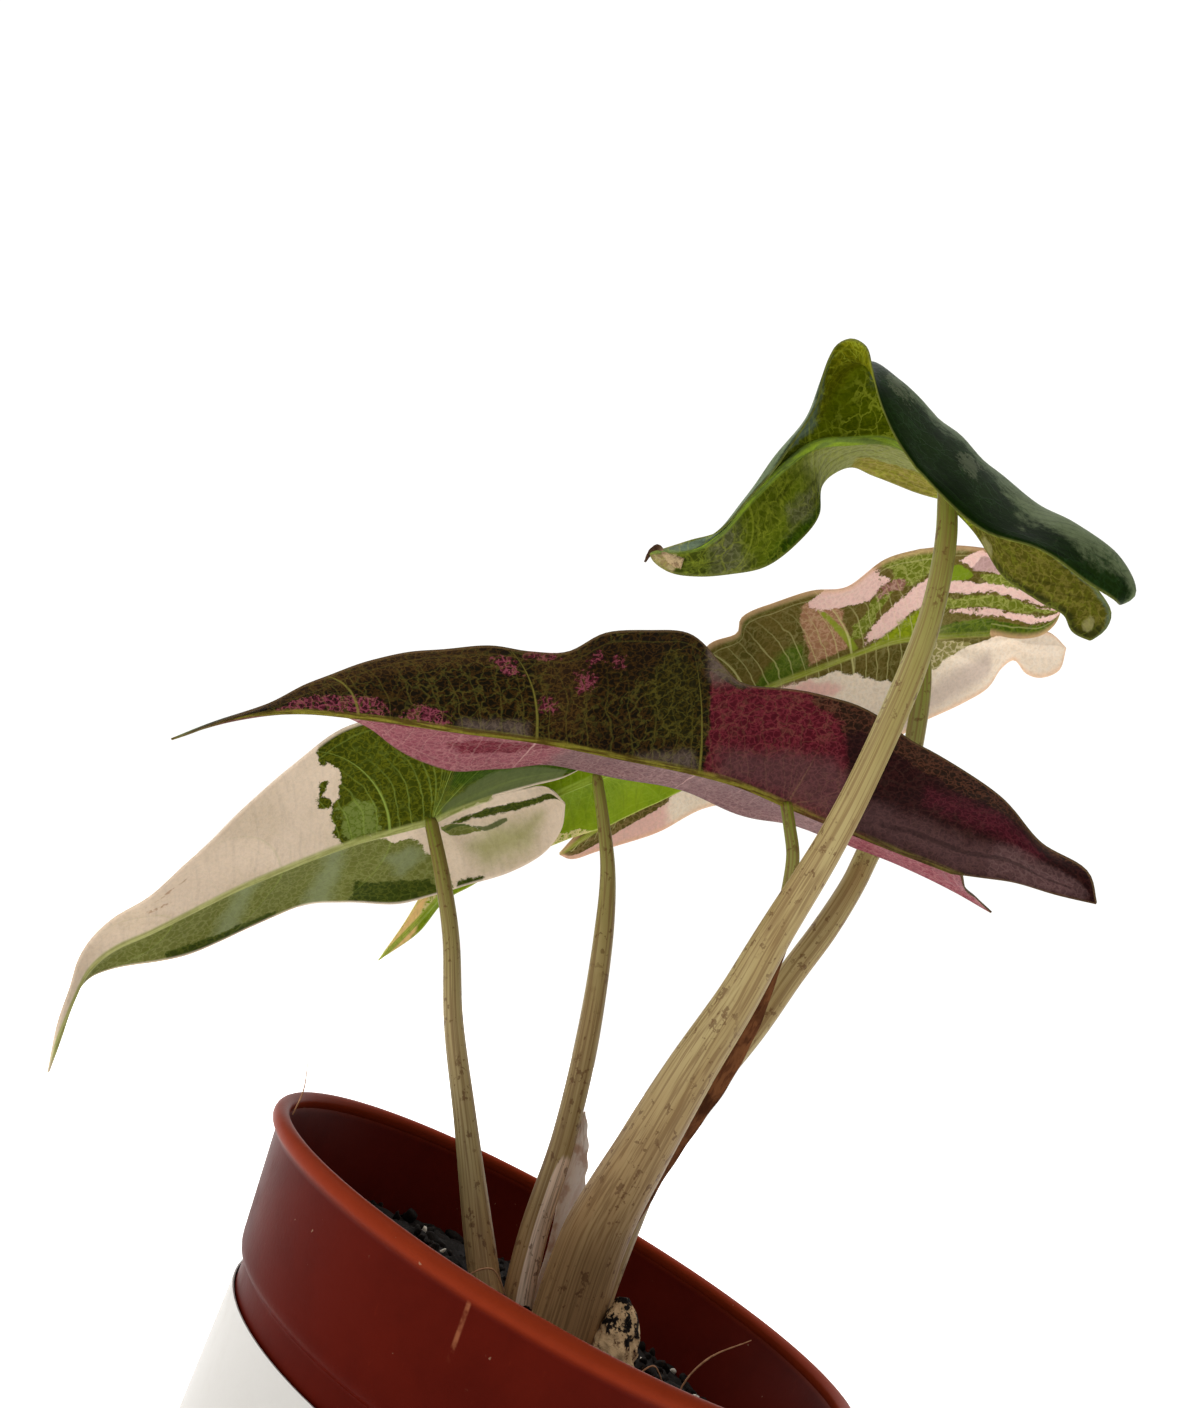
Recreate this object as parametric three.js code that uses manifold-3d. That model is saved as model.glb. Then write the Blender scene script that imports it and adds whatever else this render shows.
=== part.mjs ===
// A variegated Alocasia Polly in a nursery pot: five leaves on their stalks, a rhizome in potting mix,
// and a tapered plastic pot with a collar, a blank label and drainage holes.
// Millimetres, +Z up. The origin is the middle of the pot's base, and -Y is the front.
import * as THREE from 'three';
import { mergeVertices } from 'three/addons/utils/BufferGeometryUtils.js';
import Module from 'manifold-3d';

const wasm = await Module();
wasm.setup();

// Driving dimensions of the pot
const potHeight = 100;
const rimRadius = 60;
const wall = 1.2;
const floorThickness = 1.6;
const baseRadius = 42.5;
const bodyTop = { radius: 52, height: 75.6 };
const collarBottom = { radius: 54.2, height: 78.1 };
const collarTop = { radius: 58.3, height: 96.5 };
const roundSides = 64;
const drainHoles = { count: 8, radius: 3.5, circle: 30, firstAngle: 22.5, drillLength: 6, sides: 16 };

// Inside, the wall slants across the step under the collar between these heights.
const innerStep = { bottom: bodyTop.height - 1, top: collarBottom.height + 1.2 };

// The label is wrapped round the left and front of the body, and is blank.
const label = { bottom: 24, top: 70.7, fromAngle: 160, toAngle: 275, thickness: 0.35 };

// Potting mix: its height at the wall and how far it mounds up, its lumps and crumbs, and the play
// that a many-sided block needs inside a many-sided pot
const soil = {
  level: 81, mound: 5, lump: 1.1, crumb: 0.8, edge: 79, ringStep: 6, sides: 48, play: 0.15, seed: 7,
};

// Touching pieces keep this gap, and a stalk's hole in the soil is this much wider all round.
const seatGap = 0.3;

// Leaf blades and stalks
const bladeThickness = 0.8;
const midribHeight = 1.3;
const stalkSides = 12;

// A leaf is read from its stalk's top, which meets the blade a little way in from the sinus between the
// two lobes. midrib runs from there to the tip and back runs from there to the sinus. Each half has
// the edge of its lobe beside the sinus, the margin behind the stalk (from the lobe's end) and the
// margin in front of it (on to the tip). The near half faces -Y. arch lifts the middle of a half, and
// crest gives its middle outright where the half is folded over.
const leaves = {
  top: {
    rows: 17,
    midrib: [
      [2, -22, 265], [-10.5, -22, 267.5], [-18.5, -23, 263.5], [-24.5, -24, 259], [-28, -25, 251.5],
      [-31, -26, 241], [-33, -26, 232.5], [-36, -26, 227.5], [-43.5, -26, 222.5],
    ],
    back: [[2, -22, 265], [10.5, -20, 265], [19, -18, 264]],
    near: {
      sinus: [[19, -18, 264], [28, -20, 261.5], [35, -24, 258], [40.5, -30, 250.5]],
      crestBack: [
        [40.5, -30, 250.5], [42, -31, 253.5], [37, -30, 259.5], [27, -29, 262.5], [19.5, -28, 263.5],
        [7, -28, 268], [-6.5, -29, 273],
      ],
      crestFront: [
        [-6.5, -29, 273], [-14.5, -30, 275.5], [-21, -26, 279.5], [-25, -22, 278], [-27.5, -24, 265],
        [-29.5, -26, 254], [-31.5, -27, 241.5], [-33, -27, 232.5], [-36, -27, 227.5], [-43.5, -26, 222.5],
      ],
      marginBack: [
        [40.5, -30, 250.5], [37.5, -36, 248], [32.5, -38, 248], [22, -41, 248.5], [12, -43, 246.5],
        [2.5, -43, 249.5], [-4, -42, 253],
      ],
      marginFront: [
        [-4, -42, 253], [-10, -41, 258], [-15, -39, 264], [-20, -37, 271.5], [-23.5, -35, 277],
        [-27, -33, 278.5], [-29, -32, 276.5], [-28.5, -31, 270], [-27, -31, 263.5], [-28.5, -30, 249.5],
        [-30.5, -29, 240.5], [-33, -28, 232], [-37.5, -27, 228], [-43.5, -26, 222.5],
      ],
    },
    far: {
      sinus: [
        [19, -18, 264], [29, -14, 263.5], [37.5, -12, 261.5], [43, -12, 257.5], [43.4, -12, 253.8],
        [41.5, -12, 250],
      ],
      marginBack: [
        [41.5, -12, 250], [38, -9, 251.5], [35.5, -7, 255], [30.5, -5, 256.5], [22, -2, 260],
        [12, 1, 268.5], [3, 2, 273],
      ],
      marginFront: [
        [3, 2, 273], [-4, 2, 272], [-12.5, 0, 270.5], [-17, -3, 269], [-20, -8, 263],
        [-20.5, -12, 257.5], [-18, -17, 249], [-18.5, -20, 241.5], [-22, -23, 231.5], [-27.5, -25, 226],
        [-32.5, -26, 222.5], [-37.5, -27, 220.5], [-41.5, -27, 221], [-43.5, -26, 222.5],
      ],
      arch: 1.5,
    },
    stalk: [
      [8.5, -3, 78, 6.2], [6.5, -4, 89.5, 6.5], [4.5, -6, 105, 6.2], [5.5, -9, 122.5, 5.2],
      [7, -11, 139, 4.6], [9, -13, 154.5, 3.9], [10, -14.5, 168, 3.4], [12, -17, 187.5, 2.9],
      [12.5, -18.5, 202, 2.75], [12, -20.5, 224.5, 2.6], [10.5, -21.5, 238, 2.3], [7, -22, 252.5, 2.1],
      [2, -22, 265, 1.8],
    ],
  },
  front: {
    rows: 20,
    midrib: [
      [1.5, 10, 197.5], [-9, 6, 196], [-19.5, 2, 193], [-33, -4, 188], [-48, -10, 182.5],
      [-62.5, -14, 176.5], [-77.5, -16, 171], [-93.5, -18, 164], [-103.5, -19, 157], [-111.5, -20, 148],
    ],
    back: [[1.5, 10, 197.5], [21, 14, 199.5], [42, 18, 202]],
    near: {
      sinus: [[42, 18, 202], [50.5, 13, 204], [59.5, 7, 204.5], [65.5, 2, 205]],
      marginBack: [
        [65.5, 2, 205], [61, 0, 209.5], [50, -2, 210.5], [39, -4, 215], [18, -8, 216.5],
        [8.5, -10, 217.5], [0, -11, 216.5], [-8.5, -11, 214],
      ],
      marginFront: [
        [-8.5, -11, 214], [-16.5, -12, 211], [-22, -16, 211.5], [-29.5, -22, 212.5], [-36, -26, 208.5],
        [-43, -28, 203.5], [-48.5, -26, 197.5], [-54, -29, 193.5], [-60.5, -32, 190.5],
        [-70.5, -32, 184.5], [-80.5, -29, 178.5], [-90.5, -25, 169.5], [-98, -22, 161.5],
        [-104.5, -21, 155], [-111.5, -20, 148],
      ],
      arch: 2.5,
    },
    far: {
      sinus: [[42, 18, 202], [44.5, 22, 200.5], [48.5, 27, 200.5], [53, 30, 200]],
      marginBack: [
        [53, 30, 200], [44.5, 33, 201], [31, 35, 201.5], [19, 35, 200.5], [7, 34, 199], [1, 33, 197.5],
      ],
      marginFront: [
        [1, 33, 197.5], [-6.5, 30, 194.5], [-21, 23, 192.5], [-29.5, 19, 189], [-37.5, 15, 186],
        [-48, 11, 182], [-56.5, 7, 176], [-64, 3, 170.5], [-69.5, 0, 169], [-75.5, -5, 168.5],
        [-81.5, -10, 169], [-87, -14, 168], [-94, -17, 163.5], [-103, -19, 156.5], [-111.5, -20, 148],
      ],
      arch: 1.5,
    },
    stalk: [
      [13, 3.5, 78, 3.6], [10, 2.5, 88, 3.9], [8, 3, 109.5, 3.8], [8, 3.5, 122.5, 3.5],
      [10, 4, 131, 3.2], [12, 5, 142.5, 3], [12.5, 6, 151.5, 2.8], [12.5, 6.5, 159.5, 2.5],
      [12, 7, 168, 2], [11, 8, 175.5, 1.7], [9.5, 9, 182, 1.5], [7.5, 9.5, 188, 1.4],
      [4.5, 10, 193, 1.35], [1.5, 10, 197.5, 1.3],
    ],
  },
  left: {
    rows: 17,
    midrib: [
      [-66.5, 16, 160], [-79.5, 14, 147.5], [-93.5, 10, 130], [-105, 5, 112], [-109.5, 3, 105],
      [-111, 2, 99.5], [-110, 1, 93.5], [-108, 0, 87], [-106, 0, 79.5],
    ],
    back: [[-66.5, 16, 160], [-62.5, 17, 165.5], [-57.5, 18, 171]],
    near: {
      sinus: [[-57.5, 18, 171], [-50.5, 17, 177], [-45, 16, 181.5], [-42.5, 16, 185]],
      marginBack: [[-42.5, 16, 185], [-45.5, 10, 187.5], [-52, 3, 187], [-59.5, -2, 185], [-69, -5, 181]],
      marginFront: [
        [-69, -5, 181], [-78, -5, 175.5], [-87, -6, 166.5], [-93, -6, 153.5], [-100.5, -5, 131.5],
        [-105, -4, 119], [-110, -3, 111.5], [-112, -2, 106.5], [-112.5, -1, 101], [-111.5, 0, 95.5],
        [-109.5, -0.5, 88.5], [-106, 0, 79.5],
      ],
      arch: 2,
    },
    far: {
      sinus: [[-57.5, 18, 171], [-53, 20, 175.5], [-48.5, 22, 179], [-43, 25, 178]],
      marginBack: [[-43, 25, 178], [-41.5, 28, 172.5], [-43, 31, 166.5], [-48.5, 34, 159], [-58.5, 36, 150]],
      marginFront: [
        [-58.5, 36, 150], [-68, 35, 141], [-79, 32, 135.5], [-86.5, 28, 130], [-93, 24, 121],
        [-98.5, 19, 112], [-103.5, 14, 106.5], [-109.6, 8.5, 101], [-111, 4, 97.3], [-110.3, 2.6, 91.9],
        [-108, 1.2, 86.6], [-106, 0, 79.5],
      ],
      arch: 2,
    },
    stalk: [
      [-0.5, -2.5, 78, 3], [-8, 0, 85, 3.1], [-14, 2, 92, 2.9], [-28, 6, 110, 2.3], [-40, 9, 125.5, 2],
      [-49, 12, 139.5, 1.8], [-57, 14, 149.5, 1.7], [-66.5, 16, 160, 1.5],
    ],
  },
  back: {
    rows: 17,
    midrib: [
      [13.5, 40, 257], [6.5, 41, 252], [-6, 43, 239], [-15, 45, 229.5], [-23, 48, 216.5],
      [-30, 52, 200], [-36, 55, 184], [-43.5, 56, 170],
    ],
    back: [[13.5, 40, 257], [21, 41, 261.5], [28.5, 42, 266]],
    near: {
      sinus: [[28.5, 42, 266], [34, 40, 266.5], [39, 37, 268.5], [41, 35.5, 272.5], [40.5, 34, 276.5]],
      marginBack: [[40.5, 34, 276.5], [35, 30, 279.5], [23.5, 26, 279.5], [12, 23, 275], [4, 22, 269.5]],
      marginFront: [
        [4, 22, 269.5], [-2.5, 22, 263.5], [-7.5, 24, 254], [-14.5, 25, 250], [-21.5, 27, 244],
        [-27, 30, 238], [-26.5, 32, 235], [-31.5, 34, 230], [-33.5, 40, 218], [-35.5, 45, 202.5],
        [-38, 50, 188], [-43.5, 56, 170],
      ],
      arch: 1.5,
    },
    far: {
      sinus: [[28.5, 42, 266], [35, 44, 270.5], [42, 46, 274.5], [47.5, 48, 273.5]],
      marginBack: [
        [47.5, 48, 273.5], [48.5, 50, 268], [45, 50, 264], [41.5, 50, 263.5], [37.5, 50, 265.5],
        [35.5, 51, 262.5], [34.5, 52, 256.5], [31, 52, 250.5], [24, 53, 242],
      ],
      marginFront: [
        [24, 53, 242], [17, 55, 231], [7, 58, 218], [-4.5, 60, 206.5], [-16.5, 62, 198],
        [-23.5, 62, 188], [-35.5, 60, 175.5], [-40.5, 58, 170.5], [-43.5, 56, 170],
      ],
      arch: 1.5,
    },
    stalk: [
      [14.5, 10, 78, 4], [10, 9.5, 88, 4.2], [8, 11, 108, 4], [8.5, 13, 120.5, 3.6], [10, 15, 130, 3.3],
      [13, 18, 141.5, 3], [16, 21, 153, 2.9], [18.5, 24.5, 166.5, 2.9], [21.5, 30.5, 180, 2.9],
      [23.5, 37, 193, 2.8], [24, 40.5, 202.5, 2.8], [25, 41.5, 219.5, 2.5], [21.5, 41.5, 237.5, 2.3],
      [18, 41, 248.5, 2], [13.5, 40, 257, 1.8],
    ],
  },
  low: {
    rows: 14,
    midrib: [
      [-40, 28, 187.5], [-49, 32, 177.5], [-57, 38, 164], [-61.5, 43, 153], [-64, 46, 143.5],
      [-69.5, 49, 126.5],
    ],
    back: [[-40, 28, 187.5], [-33, 30, 195.5], [-26, 32, 202.5]],
    near: {
      sinus: [[-26, 32, 202.5], [-22.5, 30, 206], [-19, 28, 209]],
      marginBack: [[-19, 28, 209], [-25, 24, 211], [-36.5, 20, 208], [-46, 19, 202]],
      marginFront: [
        [-46, 19, 202], [-54.5, 20, 193], [-61, 26, 179.5], [-64.5, 33, 164.5], [-66, 41, 151.5],
        [-67.5, 46, 138], [-69.5, 49, 126.5],
      ],
      arch: 1.5,
    },
    far: {
      sinus: [[-26, 32, 202.5], [-20, 35, 204], [-14, 38, 205]],
      marginBack: [[-14, 38, 205], [-17.5, 41, 201], [-22.5, 43, 195.5], [-34, 45, 181]],
      marginFront: [
        [-34, 45, 181], [-44, 45, 170.5], [-51.5, 46, 162], [-58, 48, 152.5], [-62, 49, 146.5],
        [-64, 49, 137], [-69.5, 49, 126.5],
      ],
      arch: 1.5,
    },
    stalk: [
      [1, 4.5, 78, 2.9], [-2.5, 4, 85, 3.1], [-6, 6, 97.5, 2.8], [-9, 9, 115.5, 2.5], [-14, 13, 135, 2.4],
      [-21.5, 18, 156.5, 2.1], [-27, 21, 168.5, 1.7], [-33.5, 24, 178.5, 1.4], [-40, 28, 187.5, 1.25],
    ],
  },
};

// Dry skin of an old leaf base that stands off the low leaf's stalk: its seam, then its free edge
const paperySheath = {
  seam: [[-0.5, 7, 85.5], [-2.8, 8.5, 98], [-5, 9.5, 106.5], [-6.6, 11, 114.5], [-8.4, 12, 121]],
  edge: [[2.5, 8, 85.5], [1.5, 8.5, 98], [-0.8, 9.5, 108.5], [-3.6, 10.5, 115.5], [-7.6, 12, 122]],
  thickness: 0.6,
  bulge: 0.8,
  rows: 9,
};

// The rhizome lies in the mix under the stalks, and its old cut end shows beside them.
const rhizome = {
  middle: [7.5, 2, 66], size: [13, 11.5, 10.5],
  stub: [[15.5, -4, 66, 5.5], [16.5, -5.5, 80, 5], [16, -6, 90, 4.4], [15, -5.5, 95, 3], [13.8, -5, 98, 1]],
};

const vector = (point) => new THREE.Vector3(point[0], point[1], point[2]);

// A small repeatable random generator
function seeded(seed) {
  let state = seed;
  return () => {
    state = (state * 1664525 + 1013904223) % 4294967296;
    return state / 4294967296;
  };
}

function meshOf(name, geometry, color, roughness) {
  const material = new THREE.MeshStandardMaterial({ color, roughness, metalness: 0 });
  const mesh = new THREE.Mesh(geometry, material);
  mesh.name = name;
  return mesh;
}

function solidOf(geometry) {
  const bare = new THREE.BufferGeometry();
  bare.setAttribute('position', geometry.getAttribute('position'));
  bare.setIndex(geometry.getIndex());
  const merged = mergeVertices(bare, 1e-4);
  return new wasm.Manifold(new wasm.Mesh({
    numProp: 3,
    vertProperties: Float32Array.from(merged.getAttribute('position').array),
    triVerts: Uint32Array.from(merged.getIndex().array),
  }));
}

// The largest connected piece of a solid, as a geometry
function geometryOf(solid) {
  const pieces = solid.decompose();
  pieces.sort((a, b) => b.volume() - a.volume());
  const mesh = pieces[0].getMesh();
  const geometry = new THREE.BufferGeometry();
  geometry.setAttribute('position', new THREE.BufferAttribute(Float32Array.from(mesh.vertProperties), 3));
  geometry.setIndex(new THREE.BufferAttribute(Uint32Array.from(mesh.triVerts), 1));
  return geometry;
}

function geometryFrom(points, faces) {
  const geometry = new THREE.BufferGeometry();
  geometry.setFromPoints(points);
  geometry.setIndex(faces.flat());
  return geometry;
}

// A closed body through rings of points, with a fan at each end
function loft(rings) {
  const sides = rings[0].length;
  const points = rings.flat();
  const faces = [];
  for (let ring = 0; ring < rings.length - 1; ring += 1) {
    for (let side = 0; side < sides; side += 1) {
      const next = (side + 1) % sides;
      const a = ring * sides + side;
      const b = ring * sides + next;
      faces.push([a, b, b + sides], [a, b + sides, a + sides]);
    }
  }
  const middle = (ring) => ring.reduce((sum, point) => sum.add(point), new THREE.Vector3())
    .divideScalar(ring.length);
  const start = points.push(middle(rings[0])) - 1;
  const end = points.push(middle(rings[rings.length - 1])) - 1;
  const last = (rings.length - 1) * sides;
  for (let side = 0; side < sides; side += 1) {
    const next = (side + 1) % sides;
    faces.push([start, next, side], [end, last + side, last + next]);
  }
  return geometryFrom(points, faces);
}

// A tapered stalk along points that carry their own radius, with grow added to it
function stalk(stations, grow = 0) {
  const path = new THREE.CatmullRomCurve3(stations.map(vector), false, 'centripetal');
  const steps = (stations.length - 1) * 2;
  const away = new THREE.Vector3(0, 1, 0);
  const rings = [];
  for (let step = 0; step <= steps; step += 1) {
    const place = step / 2;
    const before = stations[Math.floor(place)];
    const after = stations[Math.ceil(place)];
    const radius = (before[3] + after[3]) / 2 + grow;
    const along = path.getTangent(step / steps);
    const middle = path.getPoint(step / steps);
    middle.addScaledVector(along, step === 0 ? -grow : 0);
    const right = new THREE.Vector3().crossVectors(along, away).normalize();
    const behind = new THREE.Vector3().crossVectors(right, along);
    const ring = [];
    for (let side = 0; side < stalkSides; side += 1) {
      const angle = side * 2 * Math.PI / stalkSides;
      const point = middle.clone();
      point.addScaledVector(right, -radius * Math.cos(angle));
      point.addScaledVector(behind, radius * Math.sin(angle));
      ring.push(point);
    }
    rings.push(ring);
  }
  return loft(rings);
}

// Points on a smooth line through the given ones, at these fractions of its length
function along(points, fractions) {
  const line = new THREE.CatmullRomCurve3(points.map(vector), false, 'centripetal');
  line.arcLengthDivisions = 40 * points.length;
  return fractions.map((fraction) => line.getPointAt(fraction));
}

// One half of a blade as rows of points from the midrib out to the margin. The rows run from the
// lobe's end past the sinus and the stalk to the tip.
const lobeRows = 4;
const backRows = 3;
const across = [0, 0.08, 0.3, 0.5, 0.75, 1];

function halfRows(leaf, half) {
  const frontRows = leaf.rows;
  const fromLobe = [0.07, 0.3, 0.55, 0.8];
  const behind = lobeRows + backRows;
  const outerBack = [];
  for (let row = 0; row < behind; row += 1) {
    outerBack.push(row === 0 ? 0.03 : row / behind);
  }
  const front = [];
  for (let row = 0; row < frontRows; row += 1) {
    const part = row / (frontRows - 1);
    front.push(0.985 * (0.65 * part + 0.35 * Math.sin(part * Math.PI / 2)));
  }
  const back = [0, 1 / 3, 2 / 3];
  const inner = [
    ...along([...half.sinus].reverse(), fromLobe),
    ...along([...leaf.back].reverse(), back),
    ...along(leaf.midrib, front),
  ];
  const outer = [...along(half.marginBack, outerBack), ...along(half.marginFront, front)];
  const lift = new THREE.Vector3(0, 0, 1);
  const middle = half.crestBack
    ? [...along(half.crestBack, outerBack), ...along(half.crestFront, front)]
    : inner.map((point, row) => {
      const width = point.distanceTo(outer[row]);
      const rise = half.arch * Math.min(1, width / 20);
      return point.clone().lerp(outer[row], 0.5).addScaledVector(lift, rise);
    });
  return inner.map((point, row) => across.map((t) => {
    const place = point.clone().multiplyScalar((1 - t) * (1 - 2 * t));
    place.addScaledVector(middle[row], 4 * t * (1 - t));
    place.addScaledVector(outer[row], t * (2 * t - 1));
    return place;
  }));
}

// Both halves as one surface that is joined along the midrib and, behind the stalk, to the sinus
function bladeSurface(leaf) {
  const points = [];
  const ridge = [];
  const faces = [];
  const shared = [];
  const columns = across.length;
  for (const side of ['near', 'far']) {
    const rows = halfRows(leaf, leaf[side]);
    const ids = rows.map((row, r) => row.map((point, c) => {
      if (c === 0 && r >= lobeRows && side === 'far') {
        return shared[r];
      }
      points.push(point);
      const towardTip = Math.max(0, (r - lobeRows - backRows) / leaf.rows);
      ridge.push(c === 0 && r >= lobeRows + 1 ? midribHeight * (1 - 0.8 * towardTip) : 0);
      if (c === 0) {
        shared[r] = points.length - 1;
      }
      return points.length - 1;
    }));
    for (let r = 0; r < rows.length - 1; r += 1) {
      for (let c = 0; c < columns - 1; c += 1) {
        const quad = [ids[r][c], ids[r + 1][c], ids[r + 1][c + 1], ids[r][c + 1]];
        if (side === 'far') {
          quad.reverse();
        }
        faces.push([quad[0], quad[1], quad[2]], [quad[0], quad[2], quad[3]]);
      }
    }
  }
  return { points, ridge, faces };
}

// Gives a surface a thickness, split alike on both faces, with the ridge added underneath
function thicken(surface, thickness) {
  const { points, ridge, faces } = surface;
  const flat = geometryFrom(points, faces);
  flat.computeVertexNormals();
  const normals = flat.getAttribute('normal');
  const upper = [];
  const lower = [];
  points.forEach((point, id) => {
    const normal = new THREE.Vector3().fromBufferAttribute(normals, id);
    upper.push(point.clone().addScaledVector(normal, thickness / 2));
    lower.push(point.clone().addScaledVector(normal, -thickness / 2 - ridge[id]));
  });
  const count = points.length;
  const solidFaces = [];
  const edges = new Set(faces.flatMap(([a, b, c]) => [`${a} ${b}`, `${b} ${c}`, `${c} ${a}`]));
  for (const [a, b, c] of faces) {
    solidFaces.push([a, b, c], [c + count, b + count, a + count]);
    for (const [from, to] of [[a, b], [b, c], [c, a]]) {
      if (!edges.has(`${to} ${from}`)) {
        solidFaces.push([to, from, from + count], [to, from + count, to + count]);
      }
    }
  }
  return geometryFrom([...upper, ...lower], solidFaces);
}

// The pot's inner wall at a height, in line with the outside
function innerRadius(height) {
  const bodySlope = (bodyTop.radius - baseRadius) / bodyTop.height;
  const collarSlope = (collarTop.radius - collarBottom.radius) / (collarTop.height - collarBottom.height);
  const body = (level) => baseRadius + bodySlope * level - wall;
  const collar = (level) => collarBottom.radius + collarSlope * (level - collarBottom.height) - wall;
  if (height <= innerStep.bottom) {
    return body(height);
  }
  if (height >= innerStep.top) {
    return collar(height);
  }
  const share = (height - innerStep.bottom) / (innerStep.top - innerStep.bottom);
  return THREE.MathUtils.lerp(body(innerStep.bottom), collar(innerStep.top), share);
}

function lathe(profile, sides = roundSides) {
  return new THREE.LatheGeometry(profile.map(([r, z]) => new THREE.Vector2(r, z)), sides)
    .rotateX(Math.PI / 2);
}

function pot() {
  const shell = solidOf(lathe([
    [0, 0],
    [baseRadius - 1.5, 0],
    [baseRadius - 0.4, 0.5],
    [baseRadius + 0.1, 1.6],
    [bodyTop.radius, bodyTop.height],
    [bodyTop.radius + 1.4, bodyTop.height + 0.7],
    [collarBottom.radius, collarBottom.height],
    [collarTop.radius, collarTop.height],
    [rimRadius - 0.5, collarTop.height + 0.7],
    [rimRadius, collarTop.height + 1.6],
    [rimRadius, potHeight - 0.8],
    [rimRadius - 0.7, potHeight],
    [rimRadius - 2, potHeight],
    [rimRadius - 2.7, potHeight - 0.8],
    [innerRadius(innerStep.top), innerStep.top],
    [innerRadius(innerStep.bottom), innerStep.bottom],
    [innerRadius(floorThickness), floorThickness],
    [0, floorThickness],
  ]));
  const drills = [];
  for (let hole = 0; hole < drainHoles.count; hole += 1) {
    const angle = THREE.MathUtils.degToRad(drainHoles.firstAngle + hole * 360 / drainHoles.count);
    const drill = new THREE.CylinderGeometry(
      drainHoles.radius, drainHoles.radius, drainHoles.drillLength, drainHoles.sides,
    );
    drill.rotateX(Math.PI / 2);
    drill.translate(drainHoles.circle * Math.cos(angle), drainHoles.circle * Math.sin(angle), 0);
    drills.push(solidOf(drill));
  }
  return geometryOf(drills.reduce((rest, drill) => rest.subtract(drill), shell));
}

function blankLabel() {
  const slope = (bodyTop.radius - baseRadius) / bodyTop.height;
  const steps = 26;
  const rings = [];
  for (let step = 0; step <= steps; step += 1) {
    const angle = THREE.MathUtils.degToRad(
      label.fromAngle + (label.toAngle - label.fromAngle) * step / steps,
    );
    const corner = (height, off) => {
      const radius = baseRadius + slope * height + seatGap + off;
      return new THREE.Vector3(radius * Math.cos(angle), radius * Math.sin(angle), height);
    };
    rings.push([
      corner(label.bottom, 0),
      corner(label.top, 0),
      corner(label.top, label.thickness),
      corner(label.bottom, label.thickness),
    ]);
  }
  return loft(rings);
}

// A smooth lumpy height for the top of the mix
function soilHeight(x, y) {
  const away = Math.hypot(x, y) / innerRadius(soil.level);
  const lumps = Math.sin(x * 0.31 + soil.seed) * Math.cos(y * 0.27 - 1.3)
    + 0.6 * Math.sin(x * 0.63 - y * 0.48 + 2.1) + 0.4 * Math.cos(x * 0.22 + y * 0.71);
  return soil.level + soil.mound * (1 - away * away) + soil.lump * lumps * (1 - 0.4 * away);
}

function soilBlock() {
  const random = seeded(soil.seed);
  const ringAt = (radius, height) => {
    const ring = [];
    for (let side = 0; side < soil.sides; side += 1) {
      const angle = side * 2 * Math.PI / soil.sides;
      const x = radius * Math.cos(angle);
      const y = radius * Math.sin(angle);
      ring.push(new THREE.Vector3(x, y, height(x, y)));
    }
    return ring;
  };
  const bottom = floorThickness + seatGap;
  const chamfer = 1;
  const wallRadius = (height) => innerRadius(height) - seatGap - soil.play;
  const rings = [
    ringAt(soil.ringStep / 2, () => bottom),
    ringAt(wallRadius(bottom) - chamfer, () => bottom),
    ringAt(wallRadius(bottom + chamfer), () => bottom + chamfer),
    ringAt(wallRadius(innerStep.bottom), () => innerStep.bottom),
    ringAt(wallRadius(soil.edge), () => soil.edge),
    ringAt(wallRadius(soil.edge) + seatGap, soilHeight),
  ];
  const outermost = Math.floor(wallRadius(soil.edge) / soil.ringStep) * soil.ringStep;
  for (let radius = outermost; radius > 0; radius -= soil.ringStep) {
    rings.push(ringAt(radius, (x, y) => soilHeight(x, y) + soil.crumb * (random() - 0.5)));
  }
  return loft(rings);
}

// The tuber and its stub, or the hollow they leave in the mix when grown by a gap
function rhizomeBody(grow = 0) {
  const [width, depth, height] = rhizome.size.map((radius) => radius + grow);
  const tuber = new THREE.IcosahedronGeometry(1, 3);
  const positions = tuber.getAttribute('position');
  for (let id = 0; id < positions.count; id += 1) {
    const point = new THREE.Vector3().fromBufferAttribute(positions, id);
    const knobs = 1 + 0.05 * Math.sin(6 * point.x + 4 * point.z) + 0.04 * Math.cos(7 * point.y - 3 * point.x);
    positions.setXYZ(id, point.x * width * knobs, point.y * depth * knobs, point.z * height * knobs);
  }
  tuber.translate(...rhizome.middle);
  return solidOf(tuber).add(solidOf(stalk(rhizome.stub, grow)));
}

function sheathBody(thickness) {
  const fractions = [];
  for (let row = 0; row < paperySheath.rows; row += 1) {
    fractions.push(row / (paperySheath.rows - 1));
  }
  const seam = along(paperySheath.seam, fractions);
  const edge = along(paperySheath.edge, fractions);
  const points = [];
  const faces = [];
  seam.forEach((point, row) => {
    const middle = point.clone().lerp(edge[row], 0.5);
    middle.y += paperySheath.bulge;
    points.push(point, middle, edge[row]);
  });
  for (let row = 0; row < paperySheath.rows - 1; row += 1) {
    for (let column = 0; column < 2; column += 1) {
      const a = row * 3 + column;
      faces.push([a, a + 3, a + 4], [a, a + 4, a + 1]);
    }
  }
  return thicken({ points, faces, ridge: points.map(() => 0) }, thickness);
}

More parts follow.
